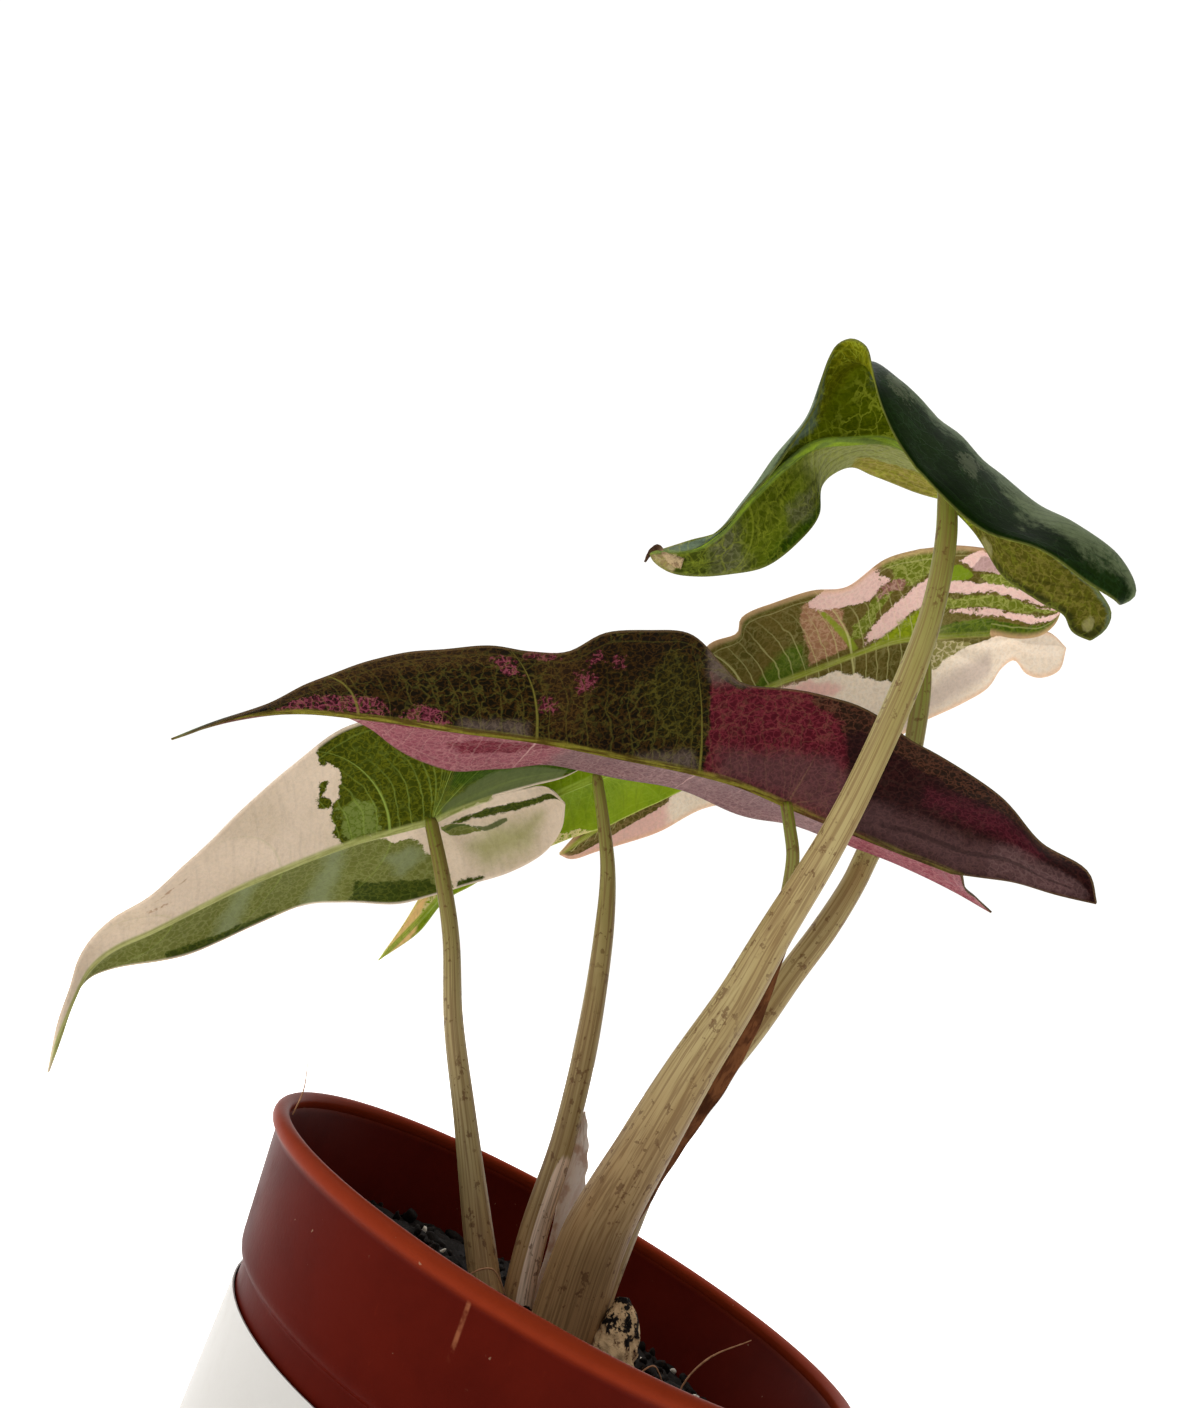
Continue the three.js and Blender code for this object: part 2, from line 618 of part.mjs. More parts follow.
// Colours and gloss of each finish
const finishes = {
  terracottaPlastic: [0x7a2413, 0.35],
  labelPaper: [0xe9e7e3, 0.6],
  pottingMix: [0x1d1512, 0.95],
  rhizomeBark: [0xb9a58a, 0.85],
  stalkSkin: [0x9a9365, 0.5],
  drySkin: [0xcdbfae, 0.7],
  topBlade: [0x24401a, 0.35],
  frontBlade: [0x5b2a36, 0.4],
  leftBlade: [0xa8a88a, 0.45],
  backBlade: [0xb49a86, 0.45],
  lowBlade: [0x8fae2c, 0.45],
};

const group = new THREE.Group();

function place(name, geometry, finish) {
  group.add(meshOf(name, geometry, ...finishes[finish]));
}

place('pot', pot(), 'terracottaPlastic');
place('label', blankLabel(), 'labelPaper');

// Blades first, because each stalk ends just under its own blade. The stalks share the crown, so a
// stalk is cut back from those that wrap round it, and all stand on the rhizome.
const rhizomeSolid = rhizomeBody();
const seatedOn = [solidOf(stalk(rhizome.stub, seatGap)), rhizomeSolid];
const stalkOrder = ['top', 'front', 'back', 'low', 'left'];
const stalkHoles = [];
for (const name of stalkOrder) {
  const leaf = leaves[name];
  const surface = bladeSurface(leaf);
  place(`blade_${name}`, thicken(surface, bladeThickness), `${name}Blade`);
  const clearance = solidOf(thicken(surface, bladeThickness + 2 * seatGap));
  let solid = solidOf(stalk(leaf.stalk)).subtract(clearance);
  for (const other of seatedOn) {
    solid = solid.subtract(other);
  }
  place(`stalk_${name}`, geometryOf(solid), 'stalkSkin');
  const hole = solidOf(stalk(leaf.stalk, seatGap));
  seatedOn.push(hole);
  stalkHoles.push(hole);
}

const sheathSolid = stalkHoles.reduce(
  (rest, hole) => rest.subtract(hole),
  solidOf(sheathBody(paperySheath.thickness)),
);
place('papery_sheath', geometryOf(sheathSolid), 'drySkin');
place('rhizome', geometryOf(rhizomeSolid), 'rhizomeBark');

const sheathHole = solidOf(sheathBody(paperySheath.thickness + 2 * seatGap));
const soilHoles = [...stalkHoles, rhizomeBody(seatGap), sheathHole, sheathHole.translate([0, 0, -seatGap])];
const soilSolid = soilHoles.reduce((rest, hole) => rest.subtract(hole), solidOf(soilBlock()));
place('potting_mix', geometryOf(soilSolid), 'pottingMix');

export default group;
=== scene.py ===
import bpy
import math
import random
import numpy as np
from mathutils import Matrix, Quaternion, Vector


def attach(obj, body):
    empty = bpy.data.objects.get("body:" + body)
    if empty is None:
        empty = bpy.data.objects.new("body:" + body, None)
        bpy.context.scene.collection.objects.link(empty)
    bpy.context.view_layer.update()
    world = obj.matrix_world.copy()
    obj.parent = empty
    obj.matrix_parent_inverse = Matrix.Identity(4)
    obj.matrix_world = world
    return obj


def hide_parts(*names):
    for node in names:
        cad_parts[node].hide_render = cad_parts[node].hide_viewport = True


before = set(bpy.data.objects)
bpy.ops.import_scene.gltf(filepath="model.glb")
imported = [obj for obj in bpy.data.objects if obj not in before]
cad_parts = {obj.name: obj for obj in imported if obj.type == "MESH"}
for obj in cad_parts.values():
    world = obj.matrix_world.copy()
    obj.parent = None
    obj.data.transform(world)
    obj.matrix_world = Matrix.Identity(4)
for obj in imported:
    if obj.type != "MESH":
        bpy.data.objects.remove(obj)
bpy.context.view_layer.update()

mm = 0.001  # every size below is in millimetres, and Blender is in metres


def paint(red, green, blue):
    # a screen colour as the linear values that Blender's sockets take
    linear = [((c / 255 + 0.055) / 1.055) ** 2.4 if c > 10 else c / 255 / 12.92 for c in (red, green, blue)]
    return (*linear, 1)


# Materials

class Sock:
    # a socket that can be used in sums
    def __init__(self, nodes, socket):
        self.nodes = nodes
        self.socket = socket

    def __add__(self, other):
        return self.nodes.maths("ADD", self, other)

    def __sub__(self, other):
        return self.nodes.maths("SUBTRACT", self, other)

    def __rsub__(self, other):
        return self.nodes.maths("SUBTRACT", other, self)

    def __mul__(self, other):
        return self.nodes.maths("MULTIPLY", self, other)

    def __truediv__(self, other):
        return self.nodes.maths("DIVIDE", self, other)

    def __abs__(self):
        return self.nodes.maths("ABSOLUTE", self)

    __radd__ = __add__
    __rmul__ = __mul__


class Nodes:
    # the nodes of a material or of the world, with colours given as on a screen
    def __init__(self, tree):
        self.tree = tree

    def feed(self, socket, value):
        if isinstance(value, Sock):
            self.tree.links.new(value.socket, socket)
        else:
            socket.default_value = paint(*value) if socket.type == "RGBA" else value

    def node(self, kind, inputs, output=0, **settings):
        made = self.tree.nodes.new("ShaderNode" + kind)
        for setting, value in settings.items():
            setattr(made, setting, value)
        for socket, value in inputs.items():
            self.feed(made.inputs[socket], value)
        return Sock(self, made.outputs[output])

    def maths(self, operation, first, second=0.0):
        return self.node("Math", {0: first, 1: second}, operation=operation)

    def step(self, value, low, high, **reach):
        return self.node("MapRange", {"Value": value, "From Min": low, "From Max": high, **reach},
                         interpolation_type="SMOOTHSTEP")


class Finish(Nodes):
    # one material, with its own Principled shader
    def __init__(self, name, **constants):
        self.material = bpy.data.materials.new(name)
        self.material.use_nodes = True
        super().__init__(self.material.node_tree)
        self.shader = self.tree.nodes["Principled BSDF"]
        self.show(**constants)

    def show(self, **values):
        for socket, value in values.items():
            self.feed(self.shader.inputs[socket.replace("_", " ")], value)

    def mix(self, under, over, share):
        return self.node("Mix", {0: share, 6: under, 7: over}, output=2, data_type="RGBA")

    def place(self):
        return self.node("TexCoord", {}, output=3)

    def axis(self, where, number):
        return self.node("SeparateXYZ", {0: where}, output=number)

    def reading(self, name, output=2):
        return self.node("Attribute", {}, output=output, attribute_name=name)

    def noise(self, where, scale, detail=2.0, roughness=0.5):
        return self.node("TexNoise", {"Vector": where, "Scale": scale, "Detail": detail,
                                      "Roughness": roughness})

    def cells(self, where, scale):
        return self.node("TexVoronoi", {"Vector": where, "Scale": scale}, feature="DISTANCE_TO_EDGE")

    def stretch(self, where, *scale):
        return self.node("Mapping", {"Vector": where, "Scale": scale})

    def bump(self, height, distance, strength=1.0):
        self.show(Normal=self.node("Bump", {"Height": height, "Distance": distance, "Strength": strength}))


# Mesh helpers

def addObject(name, data):
    made = bpy.data.objects.new(name, data)
    bpy.context.collection.objects.link(made)
    return made


def makePiece(name, points, faces, finish=None, edges=()):
    mesh = bpy.data.meshes.new(name)
    mesh.from_pydata([tuple(p) for p in points], edges, faces)
    mesh.update()
    if finish:
        mesh.materials.append(finish.material)
    mesh.polygons.foreach_set("use_smooth", [True] * len(mesh.polygons))
    return addObject(name, mesh)


def deselectAll():
    bpy.ops.object.select_all(action="DESELECT")


def pick(piece):
    deselectAll()
    piece.select_set(True)
    bpy.context.view_layer.objects.active = piece


def modify(piece, kind, **settings):
    # adds a modifier and applies it
    modifier = piece.modifiers.new(kind.lower(), kind)
    for setting, value in settings.items():
        setattr(modifier, setting, value)
    pick(piece)
    bpy.ops.object.modifier_apply(modifier=modifier.name)


def smoothSides(piece):
    pick(piece)
    bpy.ops.object.shade_smooth_by_angle(angle=math.radians(40))


def coat(piece, finish):
    piece.data.materials.clear()
    piece.data.materials.append(finish.material)


def settle(piece, node):
    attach(piece, "root")
    if node:
        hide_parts(node)


def store(piece, name, values):
    values = np.asarray(values, dtype=np.float32)
    kind, field = ("FLOAT_VECTOR", "vector") if values.ndim == 2 else ("FLOAT", "value")
    layer = piece.data.attributes.new(name, kind, "POINT")
    layer.data.foreach_set(field, values.ravel())


def reached(points):
    # how far along a line each of its points lies
    return np.concatenate([[0], np.cumsum(np.linalg.norm(np.diff(points, axis=0), axis=1))])


def smoothLine(points, fractions):
    # points at these shares of the length of a smooth line through the given ones
    points = np.array(points, float)
    points = np.vstack([2 * points[0] - points[1], points, 2 * points[-1] - points[-2]])
    u = np.linspace(0, 1, 24, endpoint=False)[:, None]
    fine = []
    for a, b, c, d in zip(points, points[1:], points[2:], points[3:]):
        ab, bc, cd = (np.linalg.norm(q - p) ** 0.5 for p, q in ((a, b), (b, c), (c, d)))
        leaving = ((b - a) / ab - (c - a) / (ab + bc) + (c - b) / bc) * bc
        arriving = ((c - b) / bc - (d - b) / (bc + cd) + (d - c) / cd) * bc
        fine.append((2 * u**3 - 3 * u**2 + 1) * b + (u**3 - 2 * u**2 + u) * leaving
                    + (3 * u**2 - 2 * u**3) * c + (u**3 - u**2) * arriving)
    fine = np.vstack(fine + [points[-2:-1]])
    length = reached(fine)
    wanted = np.asarray(fractions) * length[-1]
    return np.stack([np.interp(wanted, length, fine[:, k]) for k in range(3)], 1)


def gridFaces(ids):
    # the quads between neighbours in a grid of point numbers
    return np.stack([ids[:-1, :-1], ids[1:, :-1], ids[1:, 1:], ids[:-1, 1:]], axis=2).reshape(-1, 4)


# Camera, light and floor

view = dict(place=(0, -244.6, 141.6), lookAt=(-41.0, -8.5, 195.0), roll=28.09, lens=30.68)

studio = dict(
    white=(255, 254, 252), seen=1.1,
    brightSide=(-0.6, 0.75, 0.1), backdrop=1.5, frontFill=0.4, sideFade=0.6,
    keySize=0.9, keyPlace=(-0.35, 0.35, 1.0), keyTarget=(0, 0, 0.18), keyWatts=5,
    floorSize=6, floorColour=(250, 249, 248), floorSpeck=(240, 239, 237),
    floorFade=(0.12, 0.4), floorGlow=(196, 195, 194), glowStrength=0.85,
)


def aim(thing, ahead, roll=0):
    # turns a camera or a light so that it looks along a direction
    thing.rotation_mode = "QUATERNION"
    thing.rotation_quaternion = ahead.to_track_quat("-Z", "Y") @ Quaternion((0, 0, 1), math.radians(roll))


camera = addObject("camera", bpy.data.cameras.new("camera"))
camera.data.lens = view["lens"]
camera.data.sensor_width = 36
camera.data.clip_start = 0.01
camera.location = Vector(view["place"]) * mm
aim(camera, Vector(view["lookAt"]) - Vector(view["place"]), view["roll"])
bpy.context.scene.camera = camera

world = bpy.context.scene.world or bpy.data.worlds.new("studio")
bpy.context.scene.world = world
world.use_nodes = True
world.node_tree.nodes.clear()
sky = Nodes(world.node_tree)
toLeft = sky.node("VectorMath", {0: sky.node("TexCoord", {}), 1: studio["brightSide"]}, output=1,
                  operation="DOT_PRODUCT")
fade = sky.step(toLeft, -studio["sideFade"], studio["sideFade"],
                **{"To Min": studio["frontFill"], "To Max": studio["backdrop"]})
lit = sky.node("Background", {"Color": studio["white"], "Strength": fade})
seen = sky.node("Background", {"Color": studio["white"], "Strength": studio["seen"]})
# the camera sees a plain white, and the object is lit from the bright side
choose = sky.node("MixShader", {0: sky.node("LightPath", {}), 1: lit, 2: seen})
skyOut = sky.tree.nodes.new("ShaderNodeOutputWorld")
sky.feed(skyOut.inputs[0], choose)

keyLight = addObject("keyLight", bpy.data.lights.new("keyLight", "AREA"))
keyLight.data.shape = "DISK"
keyLight.data.size = studio["keySize"]
keyLight.data.energy = studio["keyWatts"]
keyLight.location = studio["keyPlace"]
aim(keyLight, Vector(studio["keyTarget"]) - keyLight.location)

deselectAll()
bpy.ops.mesh.primitive_plane_add(size=studio["floorSize"])
floor = bpy.context.object
floor.name = "floor"
paper = Finish("floorPaper", Roughness=0.9, Specular_IOR_Level=0.1,
               Emission_Strength=studio["glowStrength"])
floorPlace = paper.place()
floorGrain = paper.noise(floorPlace, 90)
away = paper.node("VectorMath", {0: floorPlace}, output=1, operation="LENGTH")
# the paper turns into the bright backdrop away from the pot
lift = paper.step(away, *studio["floorFade"])
paper.show(Base_Color=paper.mix(studio["floorColour"], studio["floorSpeck"], floorGrain * 0.3),
           Emission_Color=paper.mix(studio["floorGlow"], studio["white"], lift))
coat(floor, paper)
bpy.context.scene.view_settings.view_transform = "Standard"
print("camera, light and floor ready")


# Pot

pot = dict(
    sides=256, rim=60.0, height=100.0, base=42.5, wall=1.2, floor=1.6,
    bodyTop=(52.0, 75.6), collarBottom=(54.2, 78.1), collarTop=(58.3, 96.5),  # each a radius and a height
    innerStep=(74.6, 79.3),  # the heights between which the inside slants out under the collar
    lipRadius=1.45, lipHeight=1.5,
    holes=8, holeRadius=3.5, holeCircle=30.0, holeDepth=8,
    lipFade=(96.2, 98.2),  # the heights between which the colour turns into the lip's
    scratch=((-8.4, 97.3), (-7.3, 87.8)),  # its ends, across and up, on the front
    outside=(78, 15, 5), shade=(56, 6, 2), lip=(126, 44, 20), dust=(150, 120, 96), scratched=(150, 92, 62),
)


def bodyRadius(height):
    top, topHeight = pot["bodyTop"]
    return pot["base"] + (top - pot["base"]) / topHeight * height


def innerRadius(height):
    (r0, z0), (r1, z1) = pot["collarBottom"], pot["collarTop"]
    low, high = pot["innerStep"]
    body = bodyRadius(min(height, low)) - pot["wall"]
    collar = r0 + (r1 - r0) / (z1 - z0) * (max(height, high) - z0) - pot["wall"]
    share = min(1, max(0, (height - low) / (high - low)))
    return body + (collar - body) * share


def potProfile():
    # the pot's half section as radius and height: up the outside, over the lip and down the inside
    rim, height, base, floorTop = pot["rim"], pot["height"], pot["base"], pot["floor"]
    (bodyR, bodyZ), (collarR, collarZ), (topR, topZ) = pot["bodyTop"], pot["collarBottom"], pot["collarTop"]
    outline = [(0, 0), (base - 2.5, 0), (base - 1.2, 0.1), (base - 0.4, 0.5), (base, 1.2), (base + 0.15, 2)]
    outline += [(bodyR - 0.06, bodyZ - 0.6), (bodyR + 0.12, bodyZ - 0.05)]
    outline += [(bodyR + 0.6, bodyZ + 0.3), (bodyR + 1.5, bodyZ + 0.75)]
    outline += [(collarR - 0.25, collarZ - 0.9), (collarR, collarZ - 0.1), (collarR + 0.15, collarZ + 0.6)]
    outline += [(topR - 0.1, topZ - 0.5), (topR + 0.1, topZ - 0.05)]
    for angle in np.radians(np.arange(-60, 181, 20)):  # the lip is a rounded bead
        outline.append((rim - pot["lipRadius"] + pot["lipRadius"] * math.cos(angle),
                        height - pot["lipHeight"] + pot["lipHeight"] * math.sin(angle)))
    outline += [(innerRadius(97.2) + 0.35, 97.2), (innerRadius(96) + 0.05, 96)]
    outline += [(innerRadius(z), z) for z in (80, 79, 75, 74, 2.6)]
    return outline + [(innerRadius(floorTop) - 1, floorTop), (0, floorTop)]


def potFinish():
    f = Finish("terracottaPlastic", Roughness=0.4, Specular_IOR_Level=0.02)
    where = f.place()
    across, depth, height = (f.axis(where, number) for number in range(3))
    mottle = f.noise(where, 55, 4, 0.6)
    colour = f.mix(pot["outside"], pot["shade"], f.step(mottle, 0.35, 0.7) * 0.45)
    fine = f.noise(f.stretch(where, 1, 1, 0.25), 900, 3, 0.7)
    colour = f.mix(colour, pot["lip"], f.step(fine, 0.62, 0.8) * 0.12)
    lip = f.step(height, *(z * mm for z in pot["lipFade"]))
    wear = f.noise(where, 400, 3, 0.6)
    colour = f.mix(colour, pot["lip"], lip * (0.75 + 0.25 * wear))
    dusty = f.step(f.noise(where, 30, 5, 0.7), 0.55, 0.8)
    specks = f.step(f.noise(where, 620, 2), 0.74, 0.78) * f.step(f.noise(where, 60), 0.45, 0.6)
    colour = f.mix(colour, pot["dust"], specks * 0.7)
    (topX, topZ), (endX, endZ) = pot["scratch"]
    offset = abs(across - topX * mm - (height - topZ * mm) * ((endX - topX) / (endZ - topZ)))
    length = f.step(height, endZ * mm, (endZ + 2) * mm) * (1 - f.step(height, (topZ - 1) * mm, topZ * mm))
    onFront = 1 - f.step(depth, -0.03, -0.02)
    scratch = (1 - f.step(offset, 0.00015, 0.0005)) * length * onFront
    colour = f.mix(colour, pot["scratched"], scratch * f.step(wear, 0.3, 0.6) * 0.6)
    f.show(Base_Color=colour, Roughness=0.34 + 0.12 * mottle + 0.12 * dusty)
    f.bump(f.noise(where, 1400, 2) * 0.4 + mottle * 0.6, 0.00012, 0.5)
    return f


def buildPot():
    profile = potProfile()
    edges = [(i, i + 1) for i in range(len(profile) - 1)]
    shell = makePiece("pot_shell", [(r * mm, 0, z * mm) for r, z in profile], [], edges=edges)
    pick(shell)
    bpy.ops.object.mode_set(mode="EDIT")
    bpy.ops.mesh.select_all(action="SELECT")
    bpy.ops.mesh.spin(steps=pot["sides"], angle=2 * math.pi, center=(0, 0, 0), axis=(0, 0, 1))
    bpy.ops.mesh.select_all(action="SELECT")
    bpy.ops.mesh.remove_doubles(threshold=1e-6)
    bpy.ops.mesh.normals_make_consistent(inside=False)
    bpy.ops.object.mode_set(mode="OBJECT")
    circle = pot["holeCircle"] * mm
    for hole in range(pot["holes"]):
        angle = math.radians(360 / pot["holes"] * (hole + 0.5))
        deselectAll()
        bpy.ops.mesh.primitive_cylinder_add(
            vertices=32, radius=pot["holeRadius"] * mm, depth=pot["holeDepth"] * mm,
            location=(circle * math.cos(angle), circle * math.sin(angle), 0))
        drill = bpy.context.object
        modify(shell, "BOOLEAN", object=drill, operation="DIFFERENCE", solver="EXACT")
        bpy.data.objects.remove(drill)
    smoothSides(shell)
    coat(shell, potFinish())
    settle(shell, "pot")
    print("pot ready,", len(shell.data.polygons), "faces")


buildPot()


# Label

label = dict(
    bottom=24.0, top=70.7, fromAngle=160, toAngle=275, thickness=0.3, gap=0.32, corner=2.5,
    across=116, up=30,  # the faces along it and up it
    colour=(190, 188, 184), stain=(168, 160, 152),
)


def labelFinish():
    f = Finish("labelPaper", Roughness=0.5, Specular_IOR_Level=0.35)
    where = f.place()
    smudge = f.step(f.noise(where, 60, 5, 0.65), 0.5, 0.85)
    fibre = f.noise(where, 1500, 2)
    f.show(Base_Color=f.mix(label["colour"], label["stain"], smudge * 0.5 + fibre * 0.12),
           Roughness=0.42 + 0.2 * smudge)
    f.bump(fibre, 0.00003, 0.4)
    return f


def buildLabel():
    across, up, corner = label["across"], label["up"], label["corner"]
    width = math.radians(label["toAngle"] - label["fromAngle"])
    tall = label["top"] - label["bottom"]
    points = []
    for skin in (0, 1):
        for i in range(across + 1):
            angle = math.radians(label["fromAngle"]) + width * i / across
            # the ends are rounded off at the corners
            fromEnd = min(i, across - i) / across * width * 50
            inset = corner - math.sqrt(max(0, corner**2 - max(0, corner - fromEnd) ** 2))
            for j in range(up + 1):
                height = label["bottom"] + inset + (tall - 2 * inset) * j / up
                radius = bodyRadius(height) + label["gap"] + skin * label["thickness"]
                points.append((radius * math.cos(angle) * mm, radius * math.sin(angle) * mm, height * mm))
    ids = np.arange((across + 1) * (up + 1)).reshape(across + 1, up + 1)
    quads = gridFaces(ids)
    ring = np.concatenate([ids[:, 0], ids[-1, 1:], ids[-2::-1, -1], ids[0, -2:0:-1]])
    sides = np.stack([ring, np.roll(ring, -1), np.roll(ring, -1) + ids.size, ring + ids.size], 1)
    faces = np.vstack([quads + ids.size, quads[:, ::-1], sides]).tolist()
    piece = makePiece("blank_label", points, faces, labelFinish())
    smoothSides(piece)
    settle(piece, "label")


buildLabel()
print("label ready")


# Leaf blades

# A leaf is read from the top of its stalk. midrib runs from there to the tip, back runs from there to
# the sinus between the lobes, and each half has the edge of its lobe beside the sinus, the margin
# behind the stalk and the margin in front of it. The near half faces -Y. Each run starts where the one
# before it ends, and the front ones end at the tip, so those places aren't given again. A crest is the
# ridge of a fold between the midrib and the margin, and arch is how far a half without one bulges.
leaves = dict(
    top=dict(
        midrib=[(2, -22, 265), (-10.5, -22, 267.5), (-18.5, -23, 263.5), (-24.5, -24, 259),
            (-28, -25, 251.5), (-31, -26, 241), (-33, -26, 232.5), (-36, -26, 227.5), (-43.5, -26, 222.5)],
        back=[(10.5, -20, 265), (19, -18, 264)],
        near=dict(
            sinus=[(28, -20, 261.5), (35, -24, 258), (40.5, -30, 250.5)],
            crestBack=[(42, -31, 253.5), (37, -30, 259.5), (27, -29, 262.5), (19.5, -28, 263.5),
                (7, -28, 268), (-6.5, -29, 273)],
            crestFront=[(-14.5, -30, 275.5), (-21, -26, 279.5), (-25, -22, 278), (-27.5, -24, 265),
                (-29.5, -26, 254), (-31.5, -27, 241.5), (-33, -27, 232.5), (-36, -27, 227.5)],
            marginBack=[(37.5, -36, 248), (32.5, -38, 248), (22, -41, 248.5), (12, -43, 246.5),
                (2.5, -43, 249.5), (-4, -42, 253)],
            marginFront=[(-10, -41, 258), (-15, -39, 264), (-20, -37, 271.5), (-23.5, -35, 277),
                (-27, -33, 278.5), (-29, -32, 276.5), (-28.5, -31, 270), (-27, -31, 263.5),
                (-28.5, -30, 249.5), (-30.5, -29, 240.5), (-33, -28, 232), (-37.5, -27, 228)]),
        far=dict(
            sinus=[(29, -14, 263.5), (37.5, -12, 261.5), (43, -12, 257.5), (43.4, -12, 253.8),
                (41.5, -12, 250)],
            marginBack=[(38, -9, 251.5), (35.5, -7, 255), (30.5, -5, 256.5), (22, -2, 260), (12, 1, 268.5),
                (3, 2, 273)],
            marginFront=[(-4, 2, 272), (-12.5, 0, 270.5), (-17, -3, 269), (-20, -8, 263),
                (-20.5, -12, 257.5), (-18, -17, 249), (-18.5, -20, 241.5), (-22, -23, 231.5),
                (-27.5, -25, 226), (-32.5, -26, 222.5), (-37.5, -27, 220.5), (-41.5, -27, 221)],
            arch=1.5)),
    front=dict(
        midrib=[(1.5, 10, 197.5), (-9, 6, 196), (-19.5, 2, 193), (-33, -4, 188), (-48, -10, 182.5),
            (-62.5, -14, 176.5), (-77.5, -16, 171), (-93.5, -18, 164), (-103.5, -19, 157),
            (-111.5, -20, 148)],
        back=[(21, 14, 199.5), (42, 18, 202)],
        near=dict(
            sinus=[(50.5, 13, 204), (59.5, 7, 204.5), (65.5, 2, 205)],
            marginBack=[(61, 0, 209.5), (50, -2, 210.5), (39, -4, 215), (18, -8, 216.5), (8.5, -10, 217.5),
                (0, -11, 216.5), (-8.5, -11, 214)],
            marginFront=[(-16.5, -12, 211), (-22, -16, 211.5), (-29.5, -22, 212.5), (-36, -26, 208.5),
                (-43, -28, 203.5), (-48.5, -26, 197.5), (-54, -29, 193.5), (-60.5, -32, 190.5),
                (-70.5, -32, 184.5), (-80.5, -29, 178.5), (-90.5, -25, 169.5), (-98, -22, 161.5),
                (-104.5, -21, 155)],
            arch=2.5),
        far=dict(
            sinus=[(44.5, 22, 200.5), (48.5, 27, 200.5), (53, 30, 200)],
            marginBack=[(44.5, 33, 201), (31, 35, 201.5), (19, 35, 200.5), (7, 34, 199), (1, 33, 197.5)],
            marginFront=[(-6.5, 30, 194.5), (-21, 23, 192.5), (-29.5, 19, 189), (-37.5, 15, 186),
                (-48, 11, 182), (-56.5, 7, 176), (-64, 3, 170.5), (-69.5, 0, 169), (-75.5, -5, 168.5),
                (-81.5, -10, 169), (-87, -14, 168), (-94, -17, 163.5), (-103, -19, 156.5)],
            arch=1.5)),
    left=dict(
        midrib=[(-66.5, 16, 160), (-79.5, 14, 147.5), (-93.5, 10, 130), (-105, 5, 112), (-109.5, 3, 105),
            (-111, 2, 99.5), (-110, 1, 93.5), (-108, 0, 87), (-106, 0, 79.5)],
        back=[(-62.5, 17, 165.5), (-57.5, 18, 171)],
        near=dict(
            sinus=[(-50.5, 17, 177), (-45, 16, 181.5), (-42.5, 16, 185)],
            marginBack=[(-45.5, 10, 187.5), (-52, 3, 187), (-59.5, -2, 185), (-69, -5, 181)],
            marginFront=[(-78, -5, 175.5), (-87, -6, 166.5), (-93, -6, 153.5), (-100.5, -5, 131.5),
                (-105, -4, 119), (-110, -3, 111.5), (-112, -2, 106.5), (-112.5, -1, 101), (-111.5, 0, 95.5),
                (-109.5, -0.5, 88.5)],
            arch=2),
        far=dict(
            sinus=[(-53, 20, 175.5), (-48.5, 22, 179), (-43, 25, 178)],
            marginBack=[(-41.5, 28, 172.5), (-43, 31, 166.5), (-48.5, 34, 159), (-58.5, 36, 150)],
            marginFront=[(-68, 35, 141), (-79, 32, 135.5), (-86.5, 28, 130), (-93, 24, 121),
                (-98.5, 19, 112), (-103.5, 14, 106.5), (-109.6, 8.5, 101), (-111, 4, 97.3),
                (-110.3, 2.6, 91.9), (-108, 1.2, 86.6)],
            arch=2)),
    back=dict(
        midrib=[(13.5, 40, 257), (6.5, 41, 252), (-6, 43, 239), (-15, 45, 229.5), (-23, 48, 216.5),
            (-30, 52, 200), (-36, 55, 184), (-43.5, 56, 170)],
        back=[(21, 41, 261.5), (28.5, 42, 266)],
        near=dict(
            sinus=[(34, 40, 266.5), (39, 37, 268.5), (41, 35.5, 272.5), (40.5, 34, 276.5)],
            marginBack=[(35, 30, 279.5), (23.5, 26, 279.5), (12, 23, 275), (4, 22, 269.5)],
            marginFront=[(-2.5, 22, 263.5), (-7.5, 24, 254), (-14.5, 25, 250), (-21.5, 27, 244),
                (-27, 30, 238), (-26.5, 32, 235), (-31.5, 34, 230), (-33.5, 40, 218), (-35.5, 45, 202.5),
                (-38, 50, 188)],
            arch=1.5),
        far=dict(
            sinus=[(35, 44, 270.5), (42, 46, 274.5), (47.5, 48, 273.5)],
            marginBack=[(48.5, 50, 268), (45, 50, 264), (41.5, 50, 263.5), (37.5, 50, 265.5),
                (35.5, 51, 262.5), (34.5, 52, 256.5), (31, 52, 250.5), (24, 53, 242)],
            marginFront=[(17, 55, 231), (7, 58, 218), (-4.5, 60, 206.5), (-16.5, 62, 198), (-23.5, 62, 188),
                (-35.5, 60, 175.5), (-40.5, 58, 170.5)],
            arch=1.5)),
    low=dict(
        midrib=[(-40, 28, 187.5), (-49, 32, 177.5), (-57, 38, 164), (-61.5, 43, 153), (-64, 46, 143.5),
            (-69.5, 49, 126.5)],
        back=[(-33, 30, 195.5), (-26, 32, 202.5)],
        near=dict(
            sinus=[(-22.5, 30, 206), (-19, 28, 209)],
            marginBack=[(-25, 24, 211), (-36.5, 20, 208), (-46, 19, 202)],
            marginFront=[(-54.5, 20, 193), (-61, 26, 179.5), (-64.5, 33, 164.5), (-66, 41, 151.5),
                (-67.5, 46, 138)],
            arch=1.5),
        far=dict(
            sinus=[(-20, 35, 204), (-14, 38, 205)],
            marginBack=[(-17.5, 41, 201), (-22.5, 43, 195.5), (-34, 45, 181)],
            marginFront=[(-44, 45, 170.5), (-51.5, 46, 162), (-58, 48, 152.5), (-62, 49, 146.5),
                (-64, 49, 137)],
            arch=1.5)))

